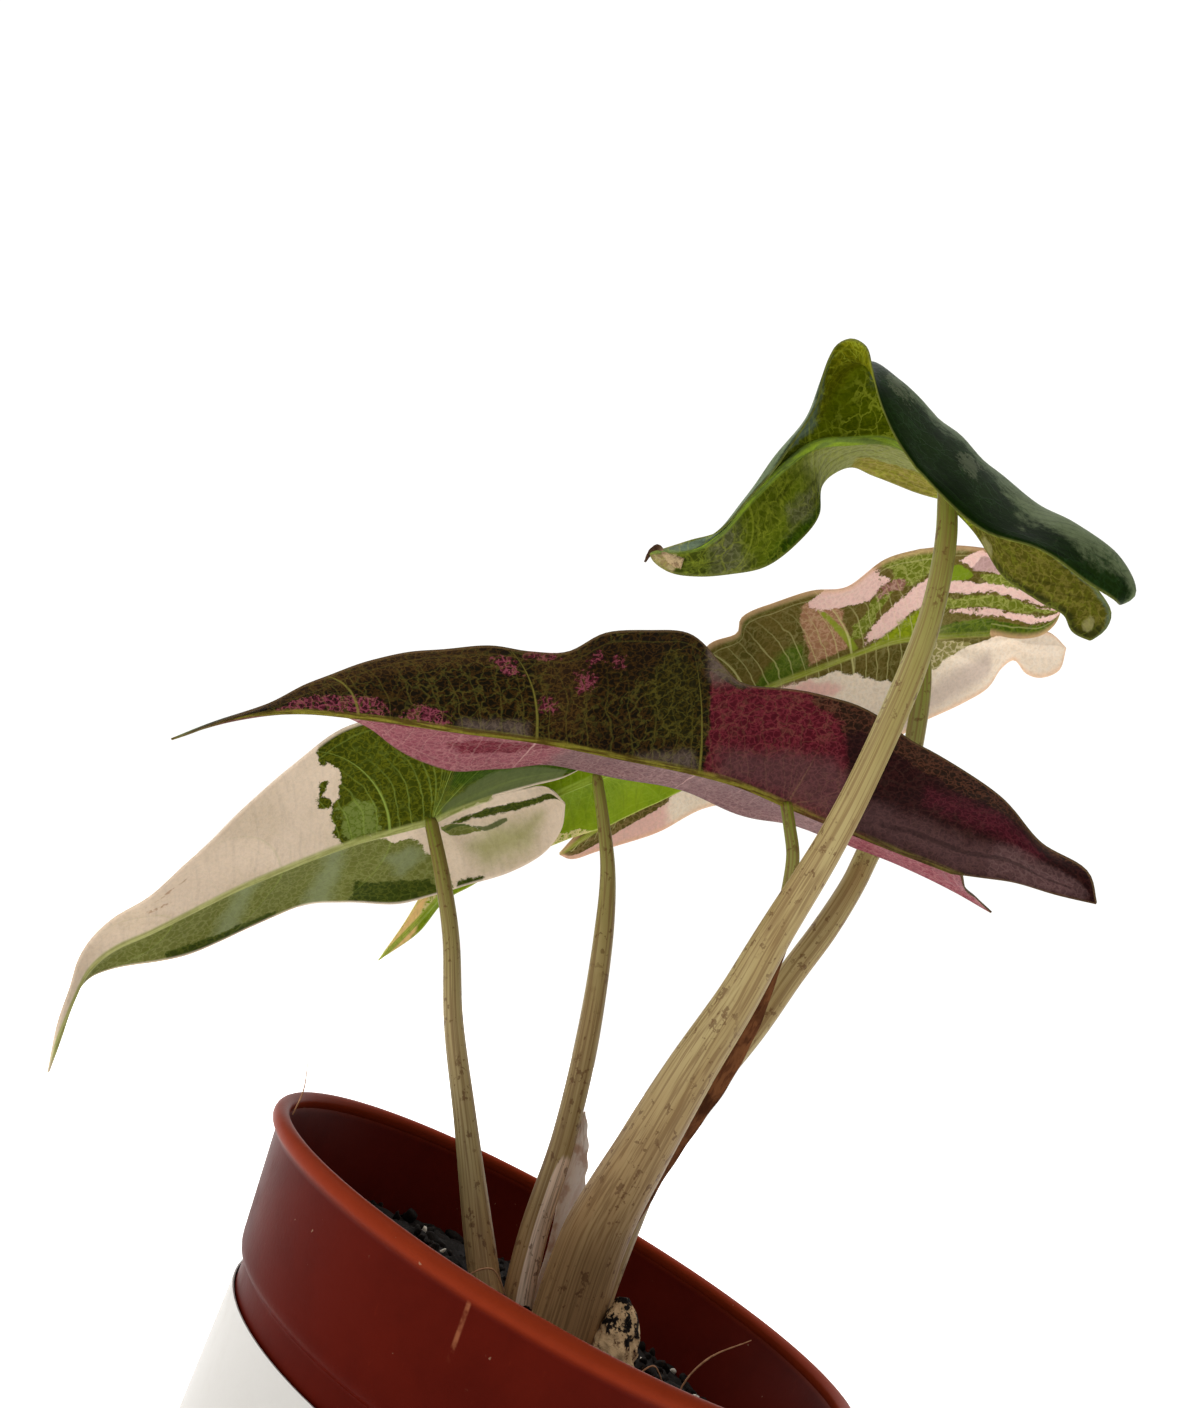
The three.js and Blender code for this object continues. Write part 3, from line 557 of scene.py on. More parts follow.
blade = dict(
    thickness=0.5, lobeRows=34, backRows=16, frontRows=120, columns=36,
    sinusShare=4 / 7,  # the share of a half, behind the stalk, that lies along the sinus
    midribWidth=0.9, midribHeight=1.15, veinHeight=0.22, quilt=0.3, ripple=0.12, fanVeins=3,
    widthShare=0.32,  # a half's width to the leaf's length, for the colour outlines
)
lobeFrom = blade["sinusShare"] - 1  # the lobes part here, as s


def bladeRows(leaf, half):
    # stations of one half: s runs from -1 at the lobe's end through 0 at the stalk to 1 at the tip
    sinusShare = blade["sinusShare"]
    tip = leaf["midrib"][-1:]
    back = leaf["midrib"][:1] + leaf["back"]
    sinus = back[-1:] + half["sinus"]
    marginBack = sinus[-1:] + half["marginBack"]
    marginFront = marginBack[-1:] + half["marginFront"] + tip
    lobe = np.linspace(0.006, sinusShare, blade["lobeRows"])
    behind = np.linspace(sinusShare, 1, blade["backRows"] + 1)[1:-1]
    part = np.linspace(0, 1, blade["frontRows"])
    ahead = 0.997 * (0.65 * part + 0.35 * np.sin(part * math.pi / 2))
    backShare = np.concatenate([lobe, behind])
    spread = np.interp(lobe / sinusShare, [0, 0.25, 0.5, 0.75, 1], [0, 0.3, 0.55, 0.8, 1])
    inner = np.vstack([smoothLine(sinus[::-1], spread),
                       smoothLine(back[::-1], (behind - sinusShare) / (1 - sinusShare)),
                       smoothLine(leaf["midrib"], ahead)])
    outer = np.vstack([smoothLine(marginBack, backShare), smoothLine(marginFront, ahead)])
    if "crestBack" in half:
        crestBack = sinus[-1:] + half["crestBack"]
        crestFront = crestBack[-1:] + half["crestFront"] + tip
        middle = np.vstack([smoothLine(crestBack, backShare), smoothLine(crestFront, ahead)])
    else:
        width = np.linalg.norm(outer - inner, axis=1)
        middle = (inner + outer) / 2
        middle[:, 2] += half["arch"] * np.minimum(1, width / 20)
    t = np.linspace(0, 1, blade["columns"])[None, :, None]
    inner, middle, outer = inner[:, None, :], middle[:, None, :], outer[:, None, :]
    grid = inner * (1 - t) * (1 - 2 * t) + middle * 4 * t * (1 - t) + outer * t * (2 * t - 1)
    return grid, np.concatenate([backShare - 1, ahead])


def bladeSurface(leaf):
    # both halves as one mid surface, joined from the sinus along the midrib to the tip
    joined = blade["lobeRows"] - 1
    t = np.linspace(0, 1, blade["columns"])
    points, faces, nearIds, total = [], [], None, 0
    reading = {"s": [], "t": [], "rib": [], "rim": [], "ahead": []}
    for side, sign in (("near", 1), ("far", -1)):
        grid, s = bladeRows(leaf, leaf[side])
        step = np.linalg.norm(np.diff(grid, axis=1), axis=2)
        rib = np.concatenate([np.zeros((len(s), 1)), np.cumsum(step, axis=1)], axis=1)
        rim = rib[:, -1:] - rib
        lobe = (s <= lobeFrom)[:, None]
        rim = np.where(lobe, np.minimum(rim, rib), rim)
        rib = rib + np.where(lobe, 40 * (lobeFrom - s[:, None]), 0)
        along = reached(grid[:, 0])
        along -= along[blade["lobeRows"] + blade["backRows"] - 1]
        own = np.ones(rib.shape, bool)
        own[joined:, 0] = side == "near"
        ids = np.zeros(rib.shape, int)
        ids[own] = total + np.arange(own.sum())
        if side == "far":
            ids[joined:, 0] = nearIds[joined:, 0]
        nearIds = ids
        total += own.sum()
        points.append(grid[own])
        layers = {"s": s[:, None] + 0 * rib, "t": sign * t[None, :] + 0 * rib, "rib": rib, "rim": rim,
                  "ahead": along[:, None] + 0 * rib}
        for key, layer in layers.items():
            reading[key].append(layer[own])
        quads = gridFaces(ids)
        faces.append(quads if side == "near" else quads[:, ::-1])
    reading = {key: np.concatenate(parts) for key, parts in reading.items()}
    return np.vstack(points), np.vstack(faces), reading


def veinPhase(s, t, veins):
    # halves lie on a side vein and whole numbers between two. Ahead of the stalk they leave the midrib
    # in turn and lean to the tip, and behind it they fan out from the stalk into the lobe.
    first, spacing, lean = veins
    leaving = s - lean * t**1.4
    fan = np.arctan2(np.maximum(-leaving, 0), 0.75 * t + 1e-6) / (math.pi / 2)
    counted = np.where(leaving > 0, leaving / spacing, -fan * blade["fanVeins"])
    return leaving, 0.5 - first / spacing + counted


def cornerNormals(points, faces):
    normal = np.cross(points[faces[:, 2]] - points[faces[:, 0]], points[faces[:, 3]] - points[faces[:, 1]])
    total = np.zeros_like(points)
    for corner in range(4):
        np.add.at(total, faces[:, corner], normal)
    return total / np.maximum(np.linalg.norm(total, axis=1, keepdims=True), 1e-12)


def patchField(outlines, s, t, length):
    # how far each point lies inside the nearest given outline, in millimetres
    scale = np.array([length, blade["widthShare"] * length])
    place = np.stack([s, t], 1) * scale
    field = np.full(len(s), -30.0)
    for outline in outlines:
        corners = np.array(outline) / 100 * scale
        nearest = np.full(len(s), 1e9)
        inside = np.zeros(len(s), bool)
        for a, b in zip(corners, np.roll(corners, -1, axis=0)):
            edge = b - a
            share = np.clip((place - a) @ edge / (edge @ edge), 0, 1)
            nearest = np.minimum(nearest, np.linalg.norm(place - a - share[:, None] * edge, axis=1))
            crosses = (a[1] > place[:, 1]) != (b[1] > place[:, 1])
            meets = a[0] + (place[:, 1] - a[1]) * edge[0] / (edge[1] or 1)
            inside ^= crosses & (place[:, 0] < meets)
        field = np.maximum(field, np.where(inside, nearest, -nearest))
    return field


def leafFinish(name, look):
    f = Finish(name + "Leaf", Roughness=0.5, Specular_IOR_Level=look["gloss"])
    where = f.place()
    bladePlace = f.reading("bladePlace", output=1)
    upper, rim, rib, phase, pitch = (f.reading(reading) for reading in (
        "upperSide", "rimDistance", "ribDistance", "veinPhase", "veinPitch"))
    ragged = (f.noise(where, 210, 7, 0.74) - 0.5) * 5
    cloud = f.noise(where, 75, 3, 0.6)
    grain = f.noise(where, 1300, 3, 0.7)
    # a fine net of worm-like lines, which is the lighter colour of each patch
    wobble = f.node("TexNoise", {"Vector": where, "Scale": 700, "Detail": 2}, output=1)
    bentPlace = f.node("VectorMath", {0: wobble, 1: (0.0022, 0.0022, 0.0022), 2: where},
                       operation="MULTIPLY_ADD")
    worms = (1 - f.step(f.cells(bentPlace, look["worms"]), 0.02, 0.17)) * f.step(grain, 0.3, 0.55)
    stain = f.step(cloud, 0.35, 0.65)
    under = f.mix(look["under"], look["underStain"], stain)
    under = f.mix(under, look["underNet"], worms * look["wormShare"])
    above = f.mix(look["above"], look["aboveStain"], stain)
    veined = look.get("veined", 1.0)
    lineColour = look["veinColour"]
    for layerName, layer in look["layers"].items():
        field = f.reading(layerName) + ragged * layer.get("rag", 1.0)
        if "dust" in layer:
            field = field + (grain - 0.5) * layer["dust"]
        soft = layer.get("soft", 0.2)
        mask = f.step(field, -soft, soft) * layer.get("share", 1.0)
        if "broken" in layer:
            mask = mask * f.step(grain + layer["broken"] * worms, 0.42, 0.6)
        netted = f.mix(layer["colour"], layer.get("net", layer["colour"]), worms * 0.9 + stain * 0.1)
        under = f.mix(under, netted, mask)
        above = f.mix(above, layer.get("above", layer["colour"]), mask)
        if "veins" in layer:
            veined = veined + (layer["veins"] - veined) * mask
        if "lines" in layer:
            lineColour = f.mix(lineColour, layer["lines"], mask)
    # side veins, the finer ones between them, the net, and the vein inside the margin
    off = abs(f.maths("FRACT", phase) - 0.5) * pitch + rib * 0.012
    behind = 1 - f.step(f.axis(bladePlace, 0), -0.009, 0.001)
    faded = behind * look.get("lobeFade", 0.5)
    mainVein = (1 - f.step(off, 0.12, 0.48)) * (1 - faded)
    bent = phase * look["fineVeins"] + (f.noise(where, 110, 3) - 0.5) * 1.1
    fineOff = abs(f.maths("FRACT", bent) - 0.5) * pitch / look["fineVeins"]
    nearRib = 1 - f.step(rib, look["fineReach"] * 0.3, look["fineReach"])
    fineVein = (1 - f.step(fineOff, 0.05, 0.26)) * f.step(rim, 1, 3) * (0.15 + 0.85 * nearRib) * (1 - faded)
    net = 1 - f.step(f.cells(f.stretch(bentPlace, 1, 1, 0.55), 360), 0.01, 0.09)
    edgeVein = 1 - f.step(abs(rim - 2.6 + (cloud - 0.5) * 3), 0.06, 0.3)
    veins = f.maths("MAXIMUM", mainVein * look["mainShare"], fineVein * look["fineShare"])
    veins = f.maths("MAXIMUM", veins, net * look["netShare"] * f.step(cloud, 0.35, 0.6))
    veins = f.maths("MAXIMUM", veins, edgeVein * look["fineShare"] * 0.7) * veined
    under = f.mix(under, lineColour, veins)
    above = f.mix(above, look["veinAbove"], veins * 0.8)
    streaks = f.noise(f.stretch(bladePlace, 0.06, 1, 1), 2500, 2)
    ribColour = f.mix(look["ribColour"], look["ribShade"], f.step(streaks, 0.4, 0.6))
    ribMask = (1 - f.step(rib, 0.45, 1.2)) * 0.9 * (1 - faded * 0.7)
    under = f.mix(under, ribColour, ribMask)
    above = f.mix(above, look["veinAbove"], ribMask)
    # a band along the margin, partly the leaf's own pale edge and partly painted glow of light shining
    # through the thin edge
    paleRimAndPaintedGlow = (1 - f.step(rim, 0.1, look["rimWidth"])) * look["rimShare"]
    under = f.mix(under, look["rimColour"], paleRimAndPaintedGlow)
    above = f.mix(above, look["rimColour"], paleRimAndPaintedGlow * 0.7)
    colour = f.mix(under, above, upper)
    strokes = f.noise(f.stretch(bladePlace, *look.get("strokeWay", (1, 0.12, 1))), 900, 3, 0.6)
    darker = f.step(grain, 0.2, 0.8) * look["grain"] + f.step(strokes, 0.45, 0.75) * look["strokes"]
    colour = f.mix(colour, (0, 0, 0), darker)
    f.show(Base_Color=colour, Roughness=look["roughness"] - 0.15 * upper + (cloud - 0.5) * 0.2)
    f.bump(veins * 0.6 + grain * 0.15 + worms * 0.15 + cloud, 0.00014, 0.6)
    return f


def buildBlade(name):
    leaf, look = leaves[name], looks[name]
    points, faces, reading = bladeSurface(leaf)
    s, t, ribAway, rimAway, along = (reading[key] for key in ("s", "t", "rib", "rim", "ahead"))
    length = reached(np.array(leaf["midrib"], float))[-1]
    leaving, phase = veinPhase(s, np.abs(t), look["veins"])
    pitch = np.where(leaving > 0, length * look["veins"][1], 0.35 * length * np.maximum(np.abs(t), 0.05))
    veinAway = np.abs(phase - np.floor(phase) - 0.5) * pitch
    # the surface is quilted between the veins and rippled along the margin
    fadeOut = np.clip(rimAway / 5, 0, 1)
    puff = blade["quilt"] * np.cos(2 * math.pi * phase) * fadeOut * np.clip(ribAway / 6, 0, 1)
    puff *= np.clip(pitch / 8, 0, 1)
    wave = np.sin(along * 0.31 + 2 * np.sign(t)) + 0.5 * np.sin(along * 0.53 + length)
    puff += blade["ripple"] * wave * np.clip(1 - rimAway / 6, 0, 1) * np.clip(ribAway / 8, 0, 1)
    normals = cornerNormals(points, faces)
    points = points + normals * puff[:, None]
    # the underside has the raised midrib and side veins
    rib = blade["midribHeight"] * np.exp(-(ribAway / blade["midribWidth"]) ** 2)
    rib = rib * (1 - 0.85 * np.clip(s, 0, 1)) * (1 - 0.5 * np.clip(s / lobeFrom, 0, 1)) * (s > lobeFrom)
    side = blade["veinHeight"] * np.exp(-(veinAway / 0.6) ** 2) * fadeOut
    half = blade["thickness"] / 2 * np.clip(0.5 + rimAway / 1.5, 0.5, 1)
    top = points + normals * half[:, None]
    under = points - normals * (half + np.maximum(rib, side))[:, None]
    count = len(points)
    edges = {(a, b) for quad in faces.tolist() for a, b in zip(quad, quad[1:] + quad[:1])}
    shell = faces.tolist() + (faces[:, ::-1] + count).tolist()
    shell += [(b, a, a + count, b + count) for a, b in sorted(edges) if (b, a) not in edges]
    piece = makePiece(name + "_blade", np.vstack([top, under]) * mm, shell, leafFinish(name, look))
    readings = {"veinPhase": phase, "veinPitch": pitch, "ribDistance": ribAway, "rimDistance": rimAway,
                "bladePlace": np.stack([along, np.sign(t) * ribAway, 0 * s], 1) * mm}
    for layerName, layer in look["layers"].items():
        readings[layerName] = patchField(layer["places"], s, t, length)
    for key, values in readings.items():
        store(piece, key, np.concatenate([values, values]))
    store(piece, "upperSide", np.repeat([1, 0], count))
    settle(piece, "blade_" + name)
    print(name, "blade ready,", len(shell), "faces")


# The colours of each leaf. A leaf's veins are the place of the first side vein, the spacing and the lean.
# Every layer lies over the ones before it, inside its places. These are outlines in percent of the leaf:
# (s, t) with s as in bladeRows, and t from 0 at the midrib to 100 at the near margin or -100 at the far
# one. rag, dust and soft shape a layer's edge, share is its strength, net is the colour of its fine net,
# above is its colour on the upper face, and veins and lines change the veins inside it.
# The margin band of each look is partly the leaf's own pale edge and partly painted glow.
looks = {}
looks["top"] = dict(
    slot="blade_green", gloss=0.01, roughness=0.6, strokeWay=(0.1, 1, 1), veins=(0.16, 0.26, 0.12),
    fineVeins=6, fineReach=10, worms=520, wormShare=0.35, mainShare=0.55, fineShare=0.35, netShare=0.6,
    grain=0.3, strokes=0.35, under=(100, 112, 4), underStain=(74, 86, 2), underNet=(128, 138, 20),
    above=(13, 29, 3), aboveStain=(24, 42, 8), veinColour=(168, 178, 54), veinAbove=(34, 58, 26),
    ribColour=(140, 166, 50), ribShade=(110, 130, 60), rimColour=(120, 124, 60), rimWidth=0.7, rimShare=0.6,
    layers=dict(
        hoodShade=dict(colour=(92, 94, 6), net=(130, 128, 20), above=(14, 32, 9), rag=1.5, soft=3,
            share=0.8,
            places=[[(20, 62), (44, 30), (44, 110), (20, 110)]]),
        paleStrip=dict(colour=(140, 144, 84), net=(158, 160, 106), above=(14, 32, 9), rag=1.5, soft=2.5,
            share=0.85, veins=0.3,
            places=[[(50, -10), (52, -55), (40, -110), (24, -110), (5, -60), (0, -5)]]),
        oliveStrip=dict(colour=(128, 122, 44), net=(156, 142, 74), above=(14, 32, 9), rag=1.2, soft=0.4,
            places=[[(25, -70), (25, -110), (-10, -110), (-10, -45), (10, -60)]]),
        tipShade=dict(colour=(64, 74, 8), net=(92, 100, 28), above=(14, 32, 9), rag=1.5, soft=3, share=0.85,
            veins=0.3,
            places=[[(46, 110), (44, 0), (46, -110), (110, -110), (110, 110)]]),
        yellowBand=dict(colour=(84, 98, 14), net=(108, 120, 30), above=(14, 32, 9), rag=2, soft=2.5,
            share=0.8,
            places=[[(50, -30), (75, -70), (72, -95), (55, -80)]]),
        edgeDark=dict(colour=(38, 62, 4), net=(60, 84, 10), above=(14, 32, 9), rag=1.6, soft=2, share=0.9,
            places=[[(46, -90), (56, -80), (70, -85), (72, -110), (46, -110)]]),
        greyOlive=dict(colour=(78, 80, 48), net=(108, 108, 76), above=(14, 32, 9), rag=2, soft=2.5,
            share=0.85,
            places=[[(74, 0), (76, -110), (85, -110), (84, 0)], [(50, -62), (60, -55), (62, -80),
                (52, -86)]]),
        tipDark=dict(colour=(60, 68, 16), net=(110, 122, 40), above=(14, 32, 9), rag=1.5, soft=1, share=0.9,
            places=[[(85, 50), (85, -110), (93, -110), (93, 50)]]),
        dryTip=dict(colour=(150, 130, 86), net=(186, 168, 124), above=(150, 130, 90), rag=0.8, soft=0.4,
            places=[[(92.5, 110), (92.5, -110), (110, -110), (110, 110)]]),
        farLobe=dict(colour=(82, 80, 20), net=(118, 110, 46), above=(40, 62, 40), soft=1, veins=0.35,
            places=[[(-20, -5), (-110, -5), (-110, -110), (-20, -110)]]),
        lobeEdge=dict(colour=(48, 52, 20), soft=1, share=0.8,
            places=[[(-40, -90), (-40, -110), (-110, -110), (-110, 0), (-93, -20), (-92, -85)]]),
        paleFlecks=dict(colour=(150, 144, 92), above=(120, 140, 120), rag=0.7, soft=0.6, share=0.85,
            places=[[(-27, -86), (-29, -98), (-38, -98), (-36, -84)], [(-88.5, -50), (-89, -74),
                (-92.5, -80), (-94.5, -70), (-94, -54), (-91, -46)]]),
        # painted sheen: a grey-teal reflection along the crest of the folded top blade
        crestSheen=dict(colour=(100, 116, 96), above=(104, 118, 86), rag=1.8, dust=4, soft=1.6, share=0.9,
            places=[[(22, 30), (22, 56), (0, 62), (-30, 60), (-70, 66), (-110, 80), (-110, -10), (-45, -10),
                (-30, 36), (0, 40)], [(42, 30), (42, 95), (100, 95), (100, 30)]]),
        # painted sheen: a lighter grey-green reflection over the lower end of the flap
        flapLight=dict(colour=(100, 116, 96), above=(104, 116, 82), rag=2.4, dust=3, soft=2, share=0.9,
            places=[[(-36, 62), (-44, 82), (-62, 80), (-80, 82), (-96, 86), (-96, 45), (-60, 45),
                (-42, 50)]]),
        # painted sheen: pale spots of reflection on the flap near the crest
        crestSpots=dict(colour=(100, 116, 96), above=(118, 126, 96), rag=1.8, dust=6, soft=0.6, share=0.4,
            places=[[(-17, 74), (-20, 68), (-26, 66), (-25, 74), (-27, 82), (-21, 78)], [(14, 66), (6, 62),
                (6, 74), (13, 78)]])))
looks["front"] = dict(
    slot="blade_wine", gloss=0.04, roughness=0.62, lobeFade=0.85, veins=(0.16, 0.275, 0.03), fineVeins=8,
    fineReach=22, worms=720, wormShare=0.75, mainShare=0.7, fineShare=0.2, netShare=0.2, grain=0.4,
    strokes=0.1, under=(20, 9, 1), underStain=(15, 12, 1), underNet=(66, 44, 10), above=(14, 34, 12),
    aboveStain=(24, 46, 20), veinColour=(126, 120, 50), veinAbove=(104, 132, 84), ribColour=(134, 126, 44),
    ribShade=(88, 72, 22), rimColour=(108, 84, 56), rimWidth=0.6, rimShare=0.6,
    layers=dict(
        olive=dict(colour=(26, 24, 1), net=(66, 60, 9), rag=2, soft=2.5, share=0.7,
            places=[[(17, 14), (17, 70), (22, 80), (27, 50), (24, 20)]]),
        browner=dict(colour=(42, 25, 7), net=(80, 58, 22), rag=2.5, soft=3, share=0.8,
            places=[[(36, 10), (36, 110), (44, 110), (43, 50), (42, 10)], [(50, 72), (90, 50), (90, 110),
                (50, 110)]]),
        wine=dict(colour=(68, 9, 21), net=(110, 38, 48), above=(38, 34, 22), lines=(160, 120, 90), rag=1.2,
            soft=0.4, veins=0.6,
            places=[[(15.5, -10), (15, 78), (8, 86), (4, 110), (-12, 110), (-17, 70), (-20, 30),
                (-20, -10)]]),
        lobe=dict(colour=(28, 6, 6), net=(50, 20, 18), above=(20, 38, 18), lines=(100, 74, 60), soft=1.5,
            veins=0.5,
            places=[[(-14, 0), (-14, 110), (-110, 110), (-110, 0)]]),
        lobeBand=dict(colour=(64, 10, 24), net=(90, 30, 42), above=(70, 44, 40), rag=3, dust=4, soft=3.5,
            share=0.7,
            places=[[(-34, 40), (-36, 56), (-60, 66), (-80, 60), (-74, 36)]]),
        pinkHalf=dict(colour=(140, 76, 86), net=(168, 108, 112), above=(120, 80, 84), lines=(214, 172, 164),
            rag=0.1, soft=0.3, veins=1,
            places=[[(110, -2), (110, -110), (-110, -110), (-110, -2)]]),
        redStreak=dict(colour=(98, 18, 34), net=(136, 58, 70), above=(100, 60, 60), rag=1.6, dust=2, soft=1,
            share=0.9,
            places=[[(40, -25), (42, -42), (47, -60), (55, -66), (58, -50), (52, -30)], [(62, -10),
                (62, -22), (74, -20), (72, -8)]]),
        # the grey-lilac far half near the stalk: partly the leaf's own tint, partly a painted silvery sheen
        lilac=dict(colour=(116, 88, 88), net=(140, 112, 110), above=(110, 90, 88), rag=1.4, soft=2.5,
            share=0.85,
            places=[[(38, -20), (42, -110), (20, -110), (-20, -110), (-25, -10), (10, -10)]]),
        lobePink=dict(colour=(134, 64, 74), net=(160, 94, 100), above=(120, 70, 76), rag=1.4, soft=1.5,
            share=0.8,
            places=[[(-25, -20), (-25, -110), (-110, -110), (-110, -10)]]),
        # painted sheen: a soft lilac-grey highlight by the stalk and along the lobe, on the underside only
        sheen=dict(colour=(84, 58, 58), net=(98, 70, 69), above=(40, 54, 40), rag=1.8, soft=3.5, share=0.62,
            veins=0.4,
            places=[[(13, 2), (13, 18), (4, 30), (-4, 42), (-12, 44), (-16, 22), (-30, 26), (-60, 30),
                (-90, 34), (-90, 2)]]),
        # painted sheen: small lilac-grey highlights beside the midrib, on the underside only
        ribSheen=dict(colour=(88, 74, 66), net=(112, 98, 88), above=(40, 54, 40), rag=1.4, soft=2,
            share=0.75,
            places=[[(56, 3), (55, 10), (45, 12), (45, 2)], [(27, 2), (18, 12), (16.5, 2)], [(10, 84),
                (14, 66), (15.5, 70), (15, 110), (2, 110)]]),
        blotches=dict(colour=(84, 20, 38), net=(138, 66, 82), above=(190, 120, 130), rag=1.7, dust=7,
            soft=0.5, share=0.9, broken=0.2,
            places=[[(39, 90), (45, 90), (44, 100), (40, 100)], [(46, 62), (48, 60), (49.5, 80), (47, 86)],
                [(35, 50), (37.2, 48), (37, 68), (35.2, 70)], [(33.2, 72), (34.5, 74), (34.2, 88),
                (33.4, 86)], [(30.2, 64), (31, 66), (30.8, 76), (30.2, 74)], [(41.2, 28), (43, 26),
                (42.8, 40), (41.4, 42)], [(66, 4), (84, 10), (80, 56), (74, 40), (68, 22)], [(56, 2),
                (64, 4), (63, 20), (58, 14)]]),
        darkPatch=dict(colour=(30, 16, 5), net=(84, 50, 34), above=(20, 40, 18), rag=2.6, dust=5, soft=1.2,
            share=0.9,
            places=[[(-6, 84), (-8, 110), (-20, 110), (-22, 86), (-14, 68), (-12, 82)], [(-20, 70),
                (-20, 110), (-100, 110), (-80, 74)]]),
        # painted sheen: a lilac-grey highlight toward the end of the near lobe, on the underside only
        lobeEnd=dict(colour=(92, 66, 66), net=(120, 92, 90), above=(30, 44, 28), rag=2, soft=2.5, share=0.5,
            places=[[(-55, 5), (-60, 30), (-80, 50), (-95, 45), (-95, 5)]]),
        # painted shadow: a dark line along the crease from the stalk out into the lobe
        crease=dict(colour=(34, 18, 18), above=(20, 40, 18), rag=0.5, soft=0.3, share=0.55,
            places=[[(-10, 3), (-30, 14), (-90, 20), (-90, 24), (-30, 18)]])))
looks["left"] = dict(
    slot="blade_cream", gloss=0.04, roughness=0.6, veined=0.15, veins=(0.095, 0.25, 0.17), fineVeins=9,
    fineReach=26, worms=620, wormShare=0.25, mainShare=0.8, fineShare=0.3, netShare=0.12, grain=0.14,
    strokes=0.1, under=(222, 202, 178), underStain=(212, 192, 166), underNet=(230, 214, 194),
    above=(190, 174, 154), aboveStain=(180, 164, 140), veinColour=(150, 172, 76), veinAbove=(205, 205, 160),
    ribColour=(176, 180, 108), ribShade=(150, 154, 84), rimColour=(242, 220, 196), rimWidth=1, rimShare=0.7,
    layers=dict(
        oliveTinge=dict(colour=(160, 156, 104), above=(200, 196, 156), rag=2, soft=7, share=0.95,
            places=[[(-12, -56), (-30, -44), (-70, -52), (-55, -84), (-20, -84)]]),
        greyGreen=dict(colour=(100, 104, 44), net=(124, 128, 70), above=(30, 56, 24), rag=1.3, soft=0.25,
            veins=0.3,
            places=[[(6, -18), (10, -20), (13, -2), (86, -2), (80, -110), (-1, -110), (2, -62), (5, -48)],
                [(0, -12), (-20, -30), (-26, -42), (-14, -44), (-4, -30)]]),
        # painted light: paler bands across the far half standing in for the lit sides of its folds
        paleFolds=dict(colour=(136, 146, 108), above=(40, 66, 34), rag=1.2, soft=2, share=0.6,
            places=[[(20, 0), (30, -110), (36, -110), (24, 0)], [(40, 0), (52, -110), (58, -110), (44, 0)],
                [(5, -50), (12, -70), (14, -40), (8, -30)]]),
        greenArea=dict(colour=(54, 62, 2), net=(92, 96, 14), above=(22, 48, 16), rag=1.1, veins=1,
            places=[[(20, 0), (23.2, 12), (22.6, 30), (21.2, 50), (22.5, 70), (25.5, 80), (25, 110),
                (-110, 110), (-110, 0)], [(23.2, 34), (26.2, 38), (26.8, 50), (25.8, 62), (24.4, 60),
                (24.6, 48)]]),
        mottle=dict(colour=(122, 136, 66), net=(84, 104, 30), above=(40, 70, 30), rag=2.2, soft=0.5,
            share=0.8,
            places=[[(12, 2), (20, 4), (21.5, 28), (18, 34), (13, 14)]]),
        lobeGreen=dict(colour=(44, 66, 4), net=(60, 84, 12), above=(20, 46, 14), soft=2, veins=0.5,
            places=[[(-8, 20), (-8, 110), (-110, 110), (-110, 20)]]),
        greyStrip=dict(colour=(92, 102, 62), above=(40, 64, 34), soft=0.9, share=0.9, veins=0.2,
            places=[[(-6, 1), (-90, 1), (-90, 34), (-40, 28), (-6, 8)]]),
        farDark=dict(colour=(46, 58, 6), net=(76, 84, 22), above=(20, 44, 16), rag=1.4, soft=0.5, veins=0.3,
            places=[[(5, -80), (12, -74), (22, -70), (25, -110), (2, -110)], [(40, -92), (50, -84),
                (64, -80), (64, -110), (40, -110)], [(-2, -13), (-20, -17), (-36, -16), (-85, -26),
                (-92, -36), (-50, -34), (-20, -23)], [(0, -90), (-10, -92), (-20, -98), (-16, -104),
                (0, -110)]]),
        branch=dict(colour=(70, 84, 34), above=(30, 52, 24), rag=0.5, soft=0.3, share=0.9,
            places=[[(-2, -20), (-16, -24), (-28, -38), (-44, -38), (-44, -43), (-27, -44), (-15, -28),
                (-2, -23)]]),
        scratches=dict(colour=(150, 96, 52), rag=0.8, soft=0.15, share=0.6, broken=0.1,
            places=[[(56, 62), (60, 64), (66, 72), (60, 70)], [(60, 40), (64, 48), (66, 60), (62, 50)]])))
